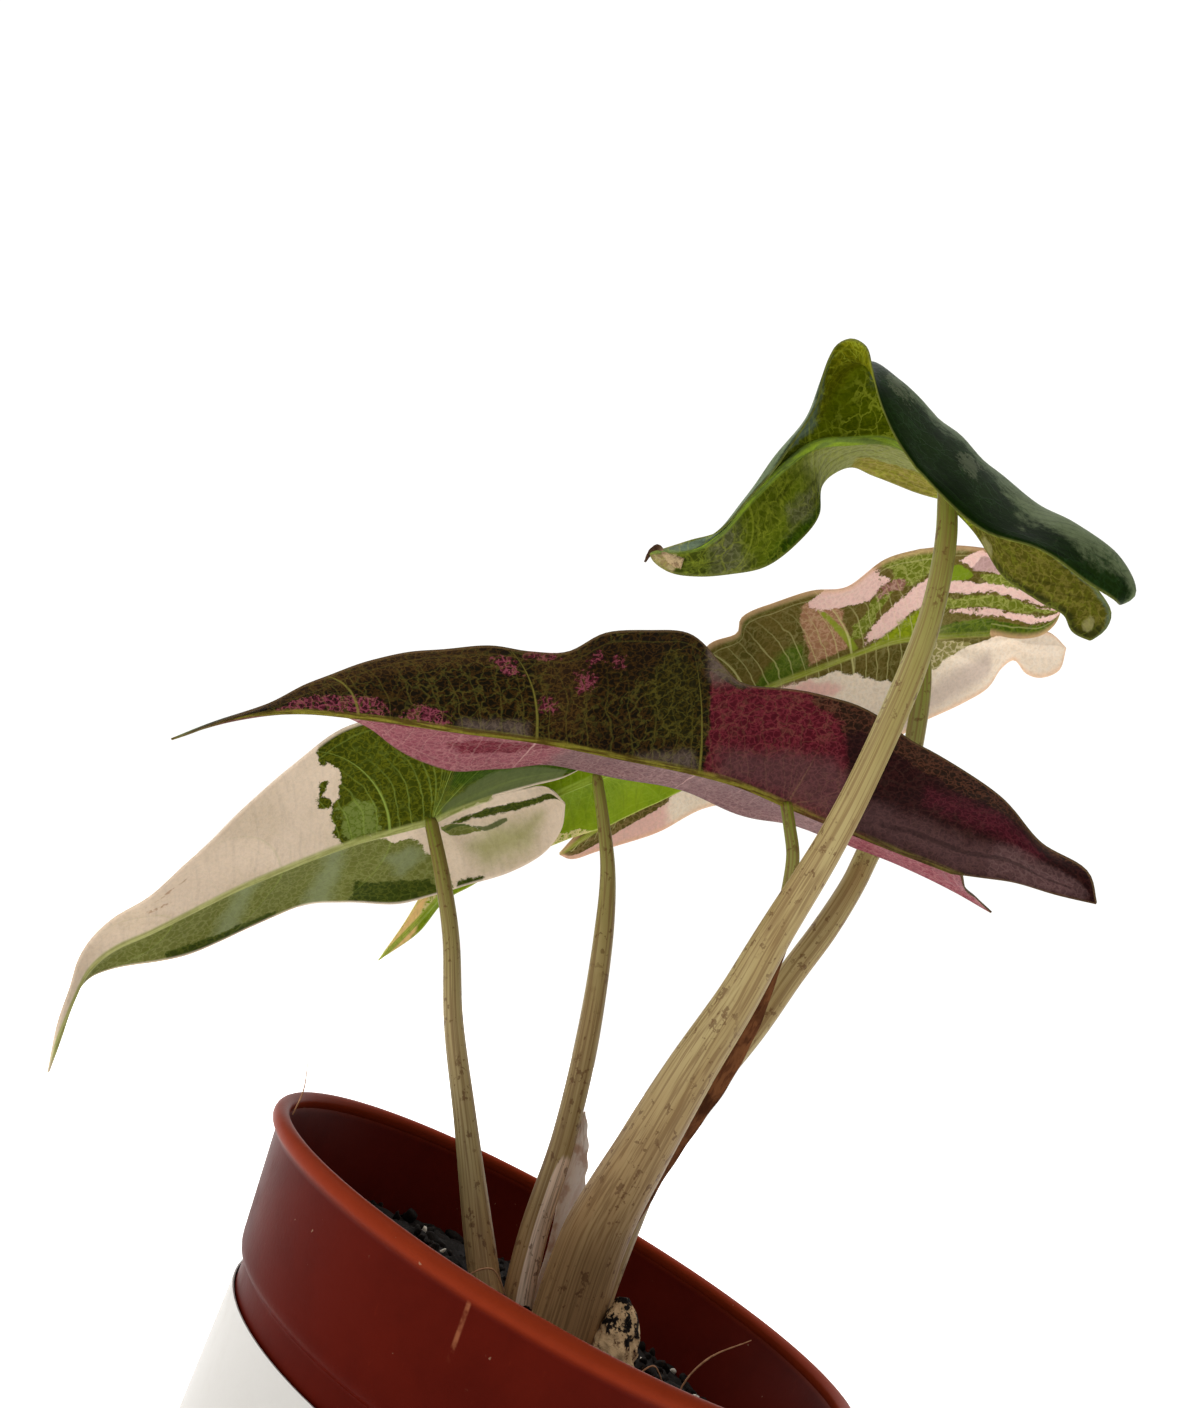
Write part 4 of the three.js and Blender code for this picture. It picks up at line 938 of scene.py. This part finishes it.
looks["back"] = dict(
    slot="blade_pink", gloss=0.04, roughness=0.6, lobeFade=0.9, veins=(0.165, 0.26, 0.06), fineVeins=9,
    fineReach=22, worms=560, wormShare=0.45, mainShare=0.7, fineShare=0.45, netShare=0.15, grain=0.2,
    strokes=0.04, under=(98, 84, 32), underStain=(84, 76, 24), underNet=(130, 114, 64), above=(30, 52, 22),
    aboveStain=(44, 62, 28), veinColour=(206, 200, 132), veinAbove=(190, 195, 150),
    ribColour=(146, 156, 48), ribShade=(166, 168, 88), rimColour=(228, 180, 138), rimWidth=2, rimShare=0.6,
    layers=dict(
        rimOlive=dict(colour=(84, 86, 28), net=(112, 110, 48), soft=0.8,
            places=[[(16, 95), (44, 88), (44, 110), (16, 110)]]),
        ribGreen=dict(colour=(70, 96, 14), net=(96, 118, 30), above=(26, 54, 20), rag=2, soft=1.5,
            share=0.85,
            places=[[(27, 4), (28, 34), (34, 30), (40, 10), (42, 2)]]),
        pinkBrown=dict(colour=(152, 108, 78), net=(186, 144, 112), above=(120, 104, 84), soft=0.4,
            places=[[(17, 10), (26.5, 6), (27, 50), (26, 86), (18, 80), (18.5, 50)]]),
        pink=dict(colour=(232, 190, 180), net=(242, 206, 194), above=(190, 154, 146), rag=1.6, dust=3,
            soft=0.25, veins=0.3,
            places=[[(25, 84), (22, 90), (19, 110), (10, 110), (9, 84), (7, 68), (12, 60), (17, 70),
                (22.5, 66)], [(13.5, 6), (12, 22), (7, 34), (3, 50), (-2, 62), (-6, 60), (-6, 36), (2, 26),
                (6, 13), (9, 6)], [(-12, 42), (-12, 56), (-30, 56), (-95, 62), (-95, 46), (-40, 44)],
                [(-16, 20), (-16, 26), (-95, 28), (-95, 18)], [(-30, 35), (-40, 39), (-95, 41), (-95, 36)],
                [(-10, 76), (-24, 84), (-34, 96), (-70, 84), (-60, 68), (-34, 68), (-20, 80)]]),
        mauveBlock=dict(colour=(176, 140, 136), net=(196, 160, 156), rag=0.8, soft=0.4, share=0.9,
            places=[[(-28, 68), (-36, 90), (-62, 80), (-56, 70)]]),
        green=dict(colour=(100, 110, 24), net=(156, 160, 78), above=(26, 54, 20), rag=1.9, soft=0.3,
            places=[[(10.5, 110), (8, 92), (6, 82), (5, 70), (11, 55), (16, 40), (16, 16), (13, 24),
                (7, 48), (0, 62), (-8, 76), (-20, 110)], [(-10, 26), (-10, 38), (-60, 42), (-95, 36),
                (-60, 29)], [(-30, 60), (-34, 68), (-70, 66), (-70, 56), (-40, 55)]]),
        topBrown=dict(colour=(112, 106, 56), net=(142, 132, 84), above=(50, 62, 30), rag=1.6, soft=0.4,
            places=[[(-12, 84), (-28, 92), (-34, 110), (-10, 110)]]),
        blob=dict(colour=(118, 140, 24), above=(60, 90, 30), rag=0.9, soft=0.4,
            places=[[(-13, 56), (-12, 72), (-22, 76), (-32, 64), (-26, 57)]]),
        brightGreen=dict(colour=(150, 166, 24), net=(120, 138, 12), above=(60, 90, 30), rag=1.6, soft=0.8,
            share=0.9,
            places=[[(14, 0), (10, 6), (5, 14), (2, 26), (-3, 34), (-7, 20), (-8, 0)]]),
        strips=dict(colour=(58, 80, 2), net=(92, 112, 12), above=(22, 48, 16), soft=0.25,
            places=[[(-8, 0), (-10, 9), (-30, 15), (-95, 15), (-95, 0), (-50, -2)]]),
        pinkFlecks=dict(colour=(146, 92, 88), net=(190, 146, 136), rag=2, dust=4, soft=0.4, share=0.85,
            places=[[(10, 68), (4, 64), (3, 50), (9, 54)]]),
        mainVein=dict(colour=(134, 150, 36), above=(80, 104, 40), rag=0.3, soft=0.3, share=0.9,
            places=[[(23.5, 74), (21.5, 66), (18.5, 38), (14.5, 4), (16.5, 4), (20, 38), (22.8, 64)]]),
        mottledFar=dict(colour=(128, 122, 60), net=(208, 194, 150), above=(60, 80, 40), rag=2, soft=0.5,
            share=0.9, veins=0.2,
            places=[[(-3, -8), (-8, -10), (-29, -14), (-29, -30), (-8, -55), (-3, -55)]]),
        creamFar=dict(colour=(236, 216, 192), net=(242, 226, 206), above=(188, 170, 154), rag=1.4, soft=0.3,
            veins=0.15,
            places=[[(50, -6), (30, -8), (20, -12), (13, -34), (6, -50), (-6, -46), (-16, -34), (-30, -22),
                (-45, -10), (-90, -4), (-110, 20), (-110, -110), (110, -110), (110, -50), (70, -40)]]),
        # painted shade: grey-lilac shading over the lower part of the cream far half
        lilacShade=dict(colour=(190, 170, 158), above=(180, 162, 146), soft=4, share=0.7,
            places=[[(30, -50), (10, -75), (-10, -60), (-40, -40), (-40, -80), (10, -98), (30, -98)]]),
        blush=dict(colour=(226, 168, 160), rag=1.8, soft=2, share=0.75,
            places=[[(42, -6), (28, -10), (20, -30), (34, -36)], [(70, -50), (70, -110), (110, -110),
                (110, -60)]]),
        tipBrown=dict(colour=(84, 74, 26), net=(130, 108, 64), above=(40, 56, 24), rag=1.6, soft=0.3,
            places=[[(66, -36), (70, -60), (82, -62), (97, -80), (110, -30), (110, 20), (70, 10)]])))
looks["low"] = dict(
    slot="blade_lime", gloss=0.04, roughness=0.55, veins=(0.2, 0.25, 0.12), fineVeins=7, fineReach=16,
    worms=520, wormShare=0.3, mainShare=0.35, fineShare=0.2, netShare=0.12, grain=0.12, strokes=0.2,
    under=(124, 148, 10), underStain=(108, 134, 6), underNet=(144, 162, 32), above=(60, 100, 20),
    aboveStain=(50, 88, 20), veinColour=(160, 186, 60), veinAbove=(150, 170, 90), ribColour=(150, 172, 60),
    ribShade=(130, 150, 40), rimColour=(196, 196, 100), rimWidth=0.7, rimShare=0.5,
    layers=dict(
        creamEdge=dict(colour=(214, 200, 136), rag=2, soft=0.3, broken=0.3,
            places=[[(30, -82), (30, -110), (3, -110), (12, -90)], [(62, 0), (62, 110), (110, 110),
                (110, 0)]]),
        orangeTip=dict(colour=(236, 196, 128), rag=1.4, soft=1.5,
            places=[[(86, -110), (80, 0), (70, 110), (110, 110), (110, -110)]])))
for leafName in leaves:
    buildBlade(leafName)


# Stalks

# Places along each stalk with its radius, from the crown to the blade
stalks = dict(
    top=[(8.5, -3, 78, 6.2), (6.5, -4, 89.5, 6.5), (4.5, -6, 105, 6.2), (5.5, -9, 122.5, 5.2),
         (7, -11, 139, 4.6), (9, -13, 154.5, 3.9), (10, -14.5, 168, 3.4), (12, -17, 187.5, 2.9),
         (12.5, -18.5, 202, 2.75), (12, -20.5, 224.5, 2.6), (10.5, -21.5, 238, 2.3), (7, -22, 252.5, 2.1),
         (2, -22, 265, 1.8)],
    front=[(13, 3.5, 78, 3.6), (10, 2.5, 88, 3.9), (8, 3, 109.5, 3.8), (8, 3.5, 122.5, 3.5),
           (10, 4, 131, 3.2), (12, 5, 142.5, 3), (12.5, 6, 151.5, 2.8), (12.5, 6.5, 159.5, 2.5),
           (12, 7, 168, 2), (11, 8, 175.5, 1.7), (9.5, 9, 182, 1.5), (7.5, 9.5, 188, 1.4),
           (4.5, 10, 193, 1.35), (1.5, 10, 197.5, 1.3)],
    left=[(-0.5, -2.5, 78, 3), (-8, 0, 85, 3.1), (-14, 2, 92, 2.9), (-28, 6, 110, 2.3), (-40, 9, 125.5, 2),
          (-49, 12, 139.5, 1.8), (-57, 14, 149.5, 1.7), (-66.5, 16, 160, 1.5)],
    back=[(14.5, 10, 78, 4), (10, 9.5, 88, 4.2), (8, 11, 108, 4), (8.5, 13, 120.5, 3.6), (10, 15, 130, 3.3),
          (13, 18, 141.5, 3), (16, 21, 153, 2.9), (18.5, 24.5, 166.5, 2.9), (21.5, 30.5, 180, 2.9),
          (23.5, 37, 193, 2.8), (24, 40.5, 202.5, 2.8), (25, 41.5, 219.5, 2.5), (21.5, 41.5, 237.5, 2.3),
          (18, 41, 248.5, 2), (13.5, 40, 257, 1.8)],
    low=[(1, 4.5, 78, 2.9), (-2.5, 4, 85, 3.1), (-6, 6, 97.5, 2.8), (-9, 9, 115.5, 2.5),
         (-14, 13, 135, 2.4), (-21.5, 18, 156.5, 2.1), (-27, 21, 168.5, 1.7), (-33.5, 24, 178.5, 1.4),
         (-40, 28, 187.5, 1.25)],
)

stalk = dict(
    sides=40, step=1.0, ribs=11, ribDepth=0.01, knobble=0.02, groove=0.05,
    base=(172, 154, 106), shade=(148, 124, 78), green=(108, 118, 24), foot=(172, 128, 88),
    wrap=(246, 222, 200), stripe=(112, 82, 48), fleck=(84, 46, 22),
    greenFrom=dict(top=0.55, front=0.6, left=0.55, back=0.5, low=0.5),
    wrapped="low",  # the stalk with a pale skin round its foot
)


def stalkFinish():
    f = Finish("stalkSkin", Roughness=0.5, Specular_IOR_Level=0.2)
    place = f.reading("stalkPlace", output=1)
    stripes = f.noise(f.stretch(place, 1, 1, 0.01), 2300, 2, 0.5)
    broad = f.noise(f.stretch(place, 1, 1, 0.12), 260, 3, 0.6)
    flecks = f.step(f.noise(f.stretch(place, 0.6, 0.6, 0.5), 1000, 3, 0.65), 0.575, 0.625)
    clumps = f.step(f.noise(place, 110, 2), 0.38, 0.52)
    colour = f.mix(stalk["base"], stalk["shade"], f.step(broad, 0.35, 0.7) * 0.7)
    colour = f.mix(colour, stalk["green"], f.reading("greenShare"))
    colour = f.mix(colour, stalk["foot"], f.reading("footShare"))
    wrapped = f.step(f.reading("paleShare") + (broad - 0.5) * 0.5, 0.4, 0.55)
    colour = f.mix(colour, stalk["wrap"], wrapped * 0.85)
    colour = f.mix(colour, stalk["stripe"], f.step(stripes, 0.42, 0.62) * 0.6)
    colour = f.mix(colour, stalk["fleck"], flecks * clumps * 0.6)
    f.show(Base_Color=colour, Roughness=0.42 + 0.2 * broad)
    f.bump(stripes * 0.7 + broad * 0.3, 0.00015, 0.5)
    return f


def tubeRings(stations, sides, step, shape):
    # rings round a smooth line through stations of (x, y, z, radius). shape gives the share of the
    # radius at an angle and a length along the line.
    stations = np.array(stations, float)
    stationAt = reached(stations[:, :3])
    length = stationAt[-1]
    fractions = np.linspace(0, 1, max(6, int(length / step)) + 1)
    path = smoothLine(stations[:, :3], fractions)
    radius = np.interp(fractions, stationAt / length, stations[:, 3])
    along = np.gradient(path, axis=0)
    along /= np.linalg.norm(along, axis=1, keepdims=True)
    right = np.cross(along, (0, 1, 0))
    right /= np.linalg.norm(right, axis=1, keepdims=True)
    behind = np.cross(right, along)
    angle = np.linspace(0, 2 * math.pi, sides, endpoint=False)
    travelled = fractions[:, None] * length
    reach = radius[:, None] * shape(angle[None, :], travelled)
    across, deep = reach * np.cos(angle), reach * np.sin(angle)
    rings = (path[:, None, :] - right[:, None, :] * across[:, :, None]
             + behind[:, None, :] * deep[:, :, None])
    straight = np.stack([across, deep, travelled + 0 * reach], 2)
    return rings.reshape(-1, 3), straight.reshape(-1, 3), fractions


def ringFaces(rows, sides):
    ids = np.arange(rows * sides).reshape(rows, sides)
    onward = np.roll(ids, -1, axis=1)
    quads = np.stack([ids[:-1], onward[:-1], onward[1:], ids[1:]], axis=2).reshape(-1, 4).tolist()
    return quads + [ids[0, ::-1].tolist(), ids[-1].tolist()]


def buildStalk(name, finish):
    seed = len(name) + stalks[name][0][0]
    sides, greenFrom = stalk["sides"], stalk["greenFrom"][name]

    def shape(angle, travelled):
        ridges = stalk["ribDepth"] * np.cos(stalk["ribs"] * angle + 0.01 * travelled)
        swell = stalk["knobble"] * np.sin(travelled * 0.17 + seed) * np.cos(2 * angle + travelled * 0.02)
        groove = -stalk["groove"] * np.exp(-((angle - math.pi / 2) / 0.3) ** 2)
        return 1 + ridges + swell + groove

    rings, straight, fractions = tubeRings(stalks[name], sides, stalk["step"], shape)
    piece = makePiece(name + "_stalk", rings * mm, ringFaces(len(fractions), sides), finish)
    store(piece, "stalkPlace", (straight + (0, 0, 300 * seed)) * mm)
    green = np.clip((fractions - greenFrom) / (1 - greenFrom), 0, 1) ** 1.3
    store(piece, "greenShare", np.repeat(green, sides))
    store(piece, "footShare", np.repeat(np.clip(1 - fractions * 2.6, 0, 1) ** 1.2, sides))
    turn = np.linspace(0, 2 * math.pi, sides, endpoint=False)[None, :]
    wrap = np.clip(0.5 + np.cos(turn) * 1.5, 0, 1) * np.clip((0.34 - fractions[:, None]) * 12, 0, 1)
    store(piece, "paleShare", (wrap * (name == stalk["wrapped"])).ravel())
    settle(piece, "stalk_" + name)


stalkSkin = stalkFinish()
for stalkName in stalks:
    buildStalk(stalkName, stalkSkin)
print("stalks ready")


# Potting mix

mix = dict(
    level=81, mound=5, edge=79, gap=0.35, rings=60, sides=220, seed=7, crumbs=420, perlite=46, spread=51,
    colour=(17, 11, 7), fibre=(66, 40, 24), perliteColour=(205, 198, 186), perlitePit=(120, 100, 80),
)


def mixHeight(x, y):
    away = np.hypot(x, y) / innerRadius(mix["level"])
    lumps = np.sin(x * 0.31 + 7) * np.cos(y * 0.27 - 1.3) + 0.6 * np.sin(x * 0.63 - y * 0.48 + 2.1)
    lumps += 0.4 * np.cos(x * 0.22 + y * 0.71)
    clods = 0.5 * np.sin(x * 1.3 + 1.7 * np.sin(y * 0.9)) * np.cos(y * 1.1 + 1.2 * np.cos(x))
    clods += 0.3 * np.sin(x * 2.7 + y * 1.9) * np.cos(y * 3.1 - x * 0.8)
    return mix["level"] + mix["mound"] * (1 - away * away) + (1.1 * lumps + clods) * (1 - 0.4 * away)


def mixFinish():
    f = Finish("pottingMix", Roughness=0.95, Specular_IOR_Level=0.15)
    where = f.place()
    lumps = f.noise(where, 260, 5, 0.7)
    fibres = f.step(f.noise(f.stretch(where, 1, 1, 0.3), 900, 4, 0.7), 0.6, 0.72)
    f.show(Base_Color=f.mix(mix["colour"], mix["fibre"], fibres * 0.8), Roughness=0.85 + 0.15 * lumps)
    f.bump(lumps + fibres * 0.2, 0.0008, 0.9)
    return f


def perliteFinish():
    f = Finish("perliteGrain", Roughness=0.9, Specular_IOR_Level=0.2)
    pits = f.noise(f.place(), 1500, 3)
    f.show(Base_Color=f.mix(mix["perliteColour"], mix["perlitePit"], f.step(pits, 0.5, 0.75) * 0.7))
    f.bump(pits, 0.0003, 0.7)
    return f


def buildMix(finish):
    bottom, sides, edge = pot["floor"] + mix["gap"], mix["sides"], innerRadius(mix["edge"])
    stepFrom = pot["innerStep"][0]
    angle = np.linspace(0, 2 * math.pi, sides, endpoint=False)
    walls = [(3, bottom), (innerRadius(bottom) - 1.4, bottom), (innerRadius(bottom + 1) - 0.5, bottom + 1),
             (innerRadius(stepFrom) - 0.5, stepFrom), (edge - 0.45, mix["edge"])]
    rings = [np.stack([r * np.cos(angle), r * np.sin(angle), 0 * angle + z], 1) for r, z in walls]
    for radius in np.linspace(edge - 0.15, 0.8, mix["rings"]):
        x, y = radius * np.cos(angle), radius * np.sin(angle)
        rings.append(np.stack([x, y, mixHeight(x, y)], 1))
    piece = makePiece("mix_body", np.vstack(rings) * mm, ringFaces(len(rings), sides), finish)
    settle(piece, "potting_mix")


def scatter(name, count, sizes, finish, seed):
    # one low-poly lump repeated over the top of the mix, each with its own size, turn and dents
    draw = random.Random(seed)
    deselectAll()
    bpy.ops.mesh.primitive_ico_sphere_add(subdivisions=2, radius=1)
    lump = bpy.context.object
    shape = np.array([vertex.co[:] for vertex in lump.data.vertices])
    faces = np.array([face.vertices[:] for face in lump.data.polygons])
    bpy.data.objects.remove(lump)
    points, allFaces = [], []
    for grain in range(count):
        away = mix["spread"] * math.sqrt(draw.random())
        turn = draw.random() * 2 * math.pi
        x, y = away * math.cos(turn), away * math.sin(turn)
        size = draw.uniform(*sizes) * draw.uniform(0.6, 1)
        stretch = np.array([draw.uniform(0.7, 1.6), draw.uniform(0.6, 1.1), draw.uniform(0.5, 0.9)])
        spin = np.array(Quaternion([draw.gauss(0, 1) for _ in range(4)]).normalized().to_matrix())
        dents = 1 + 0.22 * np.sin(shape @ np.array([draw.uniform(-5, 5) for _ in range(3)]) + grain)
        height = mixHeight(x, y) + 0.2 * size
        points.append((shape * dents[:, None] * stretch * size) @ spin + (x, y, height))
        allFaces.append(faces + grain * len(shape))
    piece = makePiece(name, np.vstack(points) * mm, np.vstack(allFaces).tolist(), finish)
    settle(piece, None)


mixSkin = mixFinish()
buildMix(mixSkin)
scatter("mix_crumbs", mix["crumbs"], (0.5, 1.9), mixSkin, mix["seed"])
scatter("perlite_grains", mix["perlite"], (0.5, 1.1), perliteFinish(), mix["seed"] + 1)
print("potting mix ready")


# Rhizome

rhizome = dict(
    middle=(7.5, 2, 66), size=(13, 11.5, 10.5), sides=72, step=0.45,
    stub=[(15.5, -4, 66, 5.5), (16.5, -5.5, 80, 5), (16, -6, 90, 4.4), (15, -5.5, 95, 3),
          (13.8, -5, 98, 1)],
    charred=(93.5, 95.5),  # the cut end of the stub turns black between these heights
    bark=(214, 180, 136), brown=(96, 56, 30), black=(20, 13, 10),
)


def rhizomeFinish():
    f = Finish("rhizomeBark", Roughness=0.85, Specular_IOR_Level=0.2)
    where = f.place()
    rough = f.noise(where, 380, 5, 0.7)
    rings = f.noise(f.stretch(where, 0.3, 0.3, 1), 700, 3, 0.6)
    colour = f.mix(rhizome["bark"], rhizome["brown"], f.step(rough, 0.5, 0.6))
    colour = f.mix(colour, rhizome["brown"], f.step(rings, 0.56, 0.68) * 0.5)
    charred = f.step(f.axis(where, 2) + (rough - 0.5) * 0.035, *(z * mm for z in rhizome["charred"]))
    f.show(Base_Color=f.mix(colour, rhizome["black"], charred), Roughness=0.75 + 0.2 * rough)
    f.bump(rough + rings * 0.5, 0.0007, 0.9)
    return f


def buildRhizome():
    def shape(angle, travelled):
        knobs = 0.07 * np.sin(3 * angle + travelled * 0.5) + 0.05 * np.sin(7 * angle - travelled * 1.1)
        rings = 0.035 * np.sin(travelled * 2.6 + np.sin(3 * angle))
        return 1 + knobs + rings + 0.05 * np.sin(13 * angle + travelled * 2)

    rings, straight, fractions = tubeRings(rhizome["stub"], rhizome["sides"], rhizome["step"], shape)
    stub = makePiece("rhizome_bark", rings * mm, ringFaces(len(fractions), rhizome["sides"]))
    deselectAll()
    bpy.ops.mesh.primitive_ico_sphere_add(subdivisions=5, radius=mm)
    tuber = bpy.context.object
    for vertex in tuber.data.vertices:
        x, y, z = vertex.co / mm
        knobs = 1 + 0.05 * math.sin(6 * x + 4 * z) + 0.04 * math.cos(7 * y - 3 * x)
        place = [c + k * s * knobs for c, k, s in zip(rhizome["middle"], (x, y, z), rhizome["size"])]
        vertex.co = Vector(place) * mm
    modify(stub, "BOOLEAN", object=tuber, operation="UNION", solver="EXACT")
    bpy.data.objects.remove(tuber)
    coat(stub, rhizomeFinish())
    stub.data.polygons.foreach_set("use_smooth", [True] * len(stub.data.polygons))
    settle(stub, "rhizome")


buildRhizome()
print("rhizome ready")


# Papery sheaths of old leaf bases

sheaths = dict(
    dry_sheath=dict(
        node="papery_sheath", thickness=0.25, rows=90, columns=16, puff=0.8, wave=0.6,
        seam=[(-0.5, 7, 85.5), (-2.8, 8.5, 98), (-5, 9.5, 106.5), (-6.6, 11, 114.5), (-8.4, 12, 121)],
        edge=[(2.5, 8, 85.5), (1.5, 8.5, 98), (-0.8, 9.5, 108.5), (-3.6, 10.5, 115.5), (-7.6, 12, 122)],
        pale=(246, 236, 228), grey=(232, 214, 202), brown=(184, 136, 106)),
    brown_sheath=dict(
        node=None, thickness=0.25, rows=110, columns=14, puff=-0.5, wave=0.2,
        seam=[(7.5, -3, 100), (8, -4.5, 112), (8, -6, 122), (8.5, -8.5, 136), (9.5, -10.5, 150),
              (11, -12.5, 164), (12.6, -12.6, 172)],
        edge=[(9, -1, 100), (11, -2, 112.9), (11.3, -3, 118), (12.5, -5, 127.1), (13.3, -6.5, 132.3),
              (14.6, -8, 140), (15, -10, 152.7), (14.1, -11.5, 161.5), (12.8, -12.6, 172)],
        pale=(112, 70, 42), grey=(78, 44, 26), brown=(44, 20, 11)),
)


def sheathFinish(name, sheath):
    f = Finish(name + "Skin", Roughness=0.7, Specular_IOR_Level=0.03)
    where = f.place()
    streaks = f.noise(f.stretch(where, 1, 1, 0.08), 1100, 4, 0.6)
    patches = f.noise(where, 160, 4, 0.6)
    colour = f.mix(sheath["pale"], sheath["grey"], f.step(streaks, 0.45, 0.6) * 0.8)
    colour = f.mix(colour, sheath["brown"], f.step(patches, 0.54, 0.66) * 0.6)
    f.show(Base_Color=colour, Roughness=0.55 + 0.3 * patches)
    f.bump(streaks, 0.0002, 0.7)
    return f


def buildSheath(name, sheath):
    rows, columns, wave = sheath["rows"], sheath["columns"], sheath["wave"]
    share = np.linspace(0, 1, rows)
    seam, edge = (smoothLine(sheath[key], share)[:, None, :] for key in ("seam", "edge"))
    up, wide = share[:, None], np.linspace(0, 1, columns)[None, :]
    grid = seam + (edge - seam) * wide[:, :, None]
    grid[:, :, 1] += sheath["puff"] * 4 * wide * (1 - wide) * (1 - up**4)
    grid[:, :, 1] += wave * (0.35 * np.sin(up * 38) * wide + 0.25 * np.sin(wide * 20 + up * 9))
    grid[:, :, 0] += wave * 0.3 * np.sin(up * 61 + 1) * wide**2
    quads = gridFaces(np.arange(rows * columns).reshape(rows, columns).T).tolist()
    piece = makePiece(name, grid.reshape(-1, 3) * mm, quads, sheathFinish(name, sheath))
    modify(piece, "SOLIDIFY", thickness=sheath["thickness"] * mm, offset=0)
    settle(piece, sheath["node"])


for sheathName, sheath in sheaths.items():
    buildSheath(sheathName, sheath)
print("sheaths ready")


# Stray roots and the dried hook at the end of the top blade

threads = dict(
    root_a=[(-53.2, -20, 99.5, 0.14), (-53.6, -20, 104, 0.12), (-55.6, -20, 109, 0.05)],
    root_b=[(30, -14, 86, 0.1), (28.5, -15, 92, 0.16), (30.5, -15, 98, 0.16), (36, -14, 104, 0.08)],
    root_c=[(-13, -15, 82, 0.1), (-12.5, -15, 90, 0.16), (-9.3, -15, 93, 0.16), (-5, -13, 90, 0.08)],
    root_d=[(22, -10, 83, 0.1), (21, -12, 88, 0.18), (23, -12, 92, 0.15), (26, -10, 90, 0.08)],
)
root = dict(sides=7, step=0.35, wobble=0.1, colour=(206, 160, 120), shade=(130, 76, 46))
hook = dict(
    line=[(-36.5, -26, 223.2, 1.5), (-38.6, -26, 222.9, 1.25), (-41.2, -26, 223.8, 0.75),
          (-42.6, -26, 224.4, 0.6), (-43.3, -26, 222.9, 0.55), (-43.4, -26, 220.6, 0.2)],
    sides=20, step=0.35, wobble=0.18,
    endDark=(-42.4, -39.8),  # across, the hook turns pale between these places
    dark=(60, 40, 26), pale=(178, 154, 116), blotch=(96, 70, 46),
)


def rootFinish():
    f = Finish("rootSkin", Roughness=0.8, Specular_IOR_Level=0.15)
    f.show(Base_Color=f.mix(root["colour"], root["shade"], f.noise(f.place(), 1200, 3)))
    return f


def hookFinish():
    f = Finish("hookSkin", Roughness=0.85, Specular_IOR_Level=0.1)
    where = f.place()
    grain = f.noise(where, 900, 4, 0.7)
    colour = f.mix(hook["dark"], hook["pale"], f.step(f.axis(where, 0), *(x * mm for x in hook["endDark"])))
    f.show(Base_Color=f.mix(colour, hook["blotch"], f.step(grain, 0.45, 0.65) * 0.7))
    f.bump(grain, 0.0005, 0.9)
    return f


def buildThread(name, stations, kind, finish):
    def shape(angle, travelled):
        return 1 + kind["wobble"] * np.sin(3 * angle + travelled * 2.1) * np.sin(travelled * 1.7)

    rings, straight, fractions = tubeRings(stations, kind["sides"], kind["step"], shape)
    piece = makePiece(name, rings * mm, ringFaces(len(fractions), kind["sides"]), finish)
    settle(piece, None)


rootSkin = rootFinish()
for threadName, stations in threads.items():
    buildThread(threadName, stations, root, rootSkin)
buildThread("tip_hook", hook["line"], hook, hookFinish())
print("roots and hook ready")
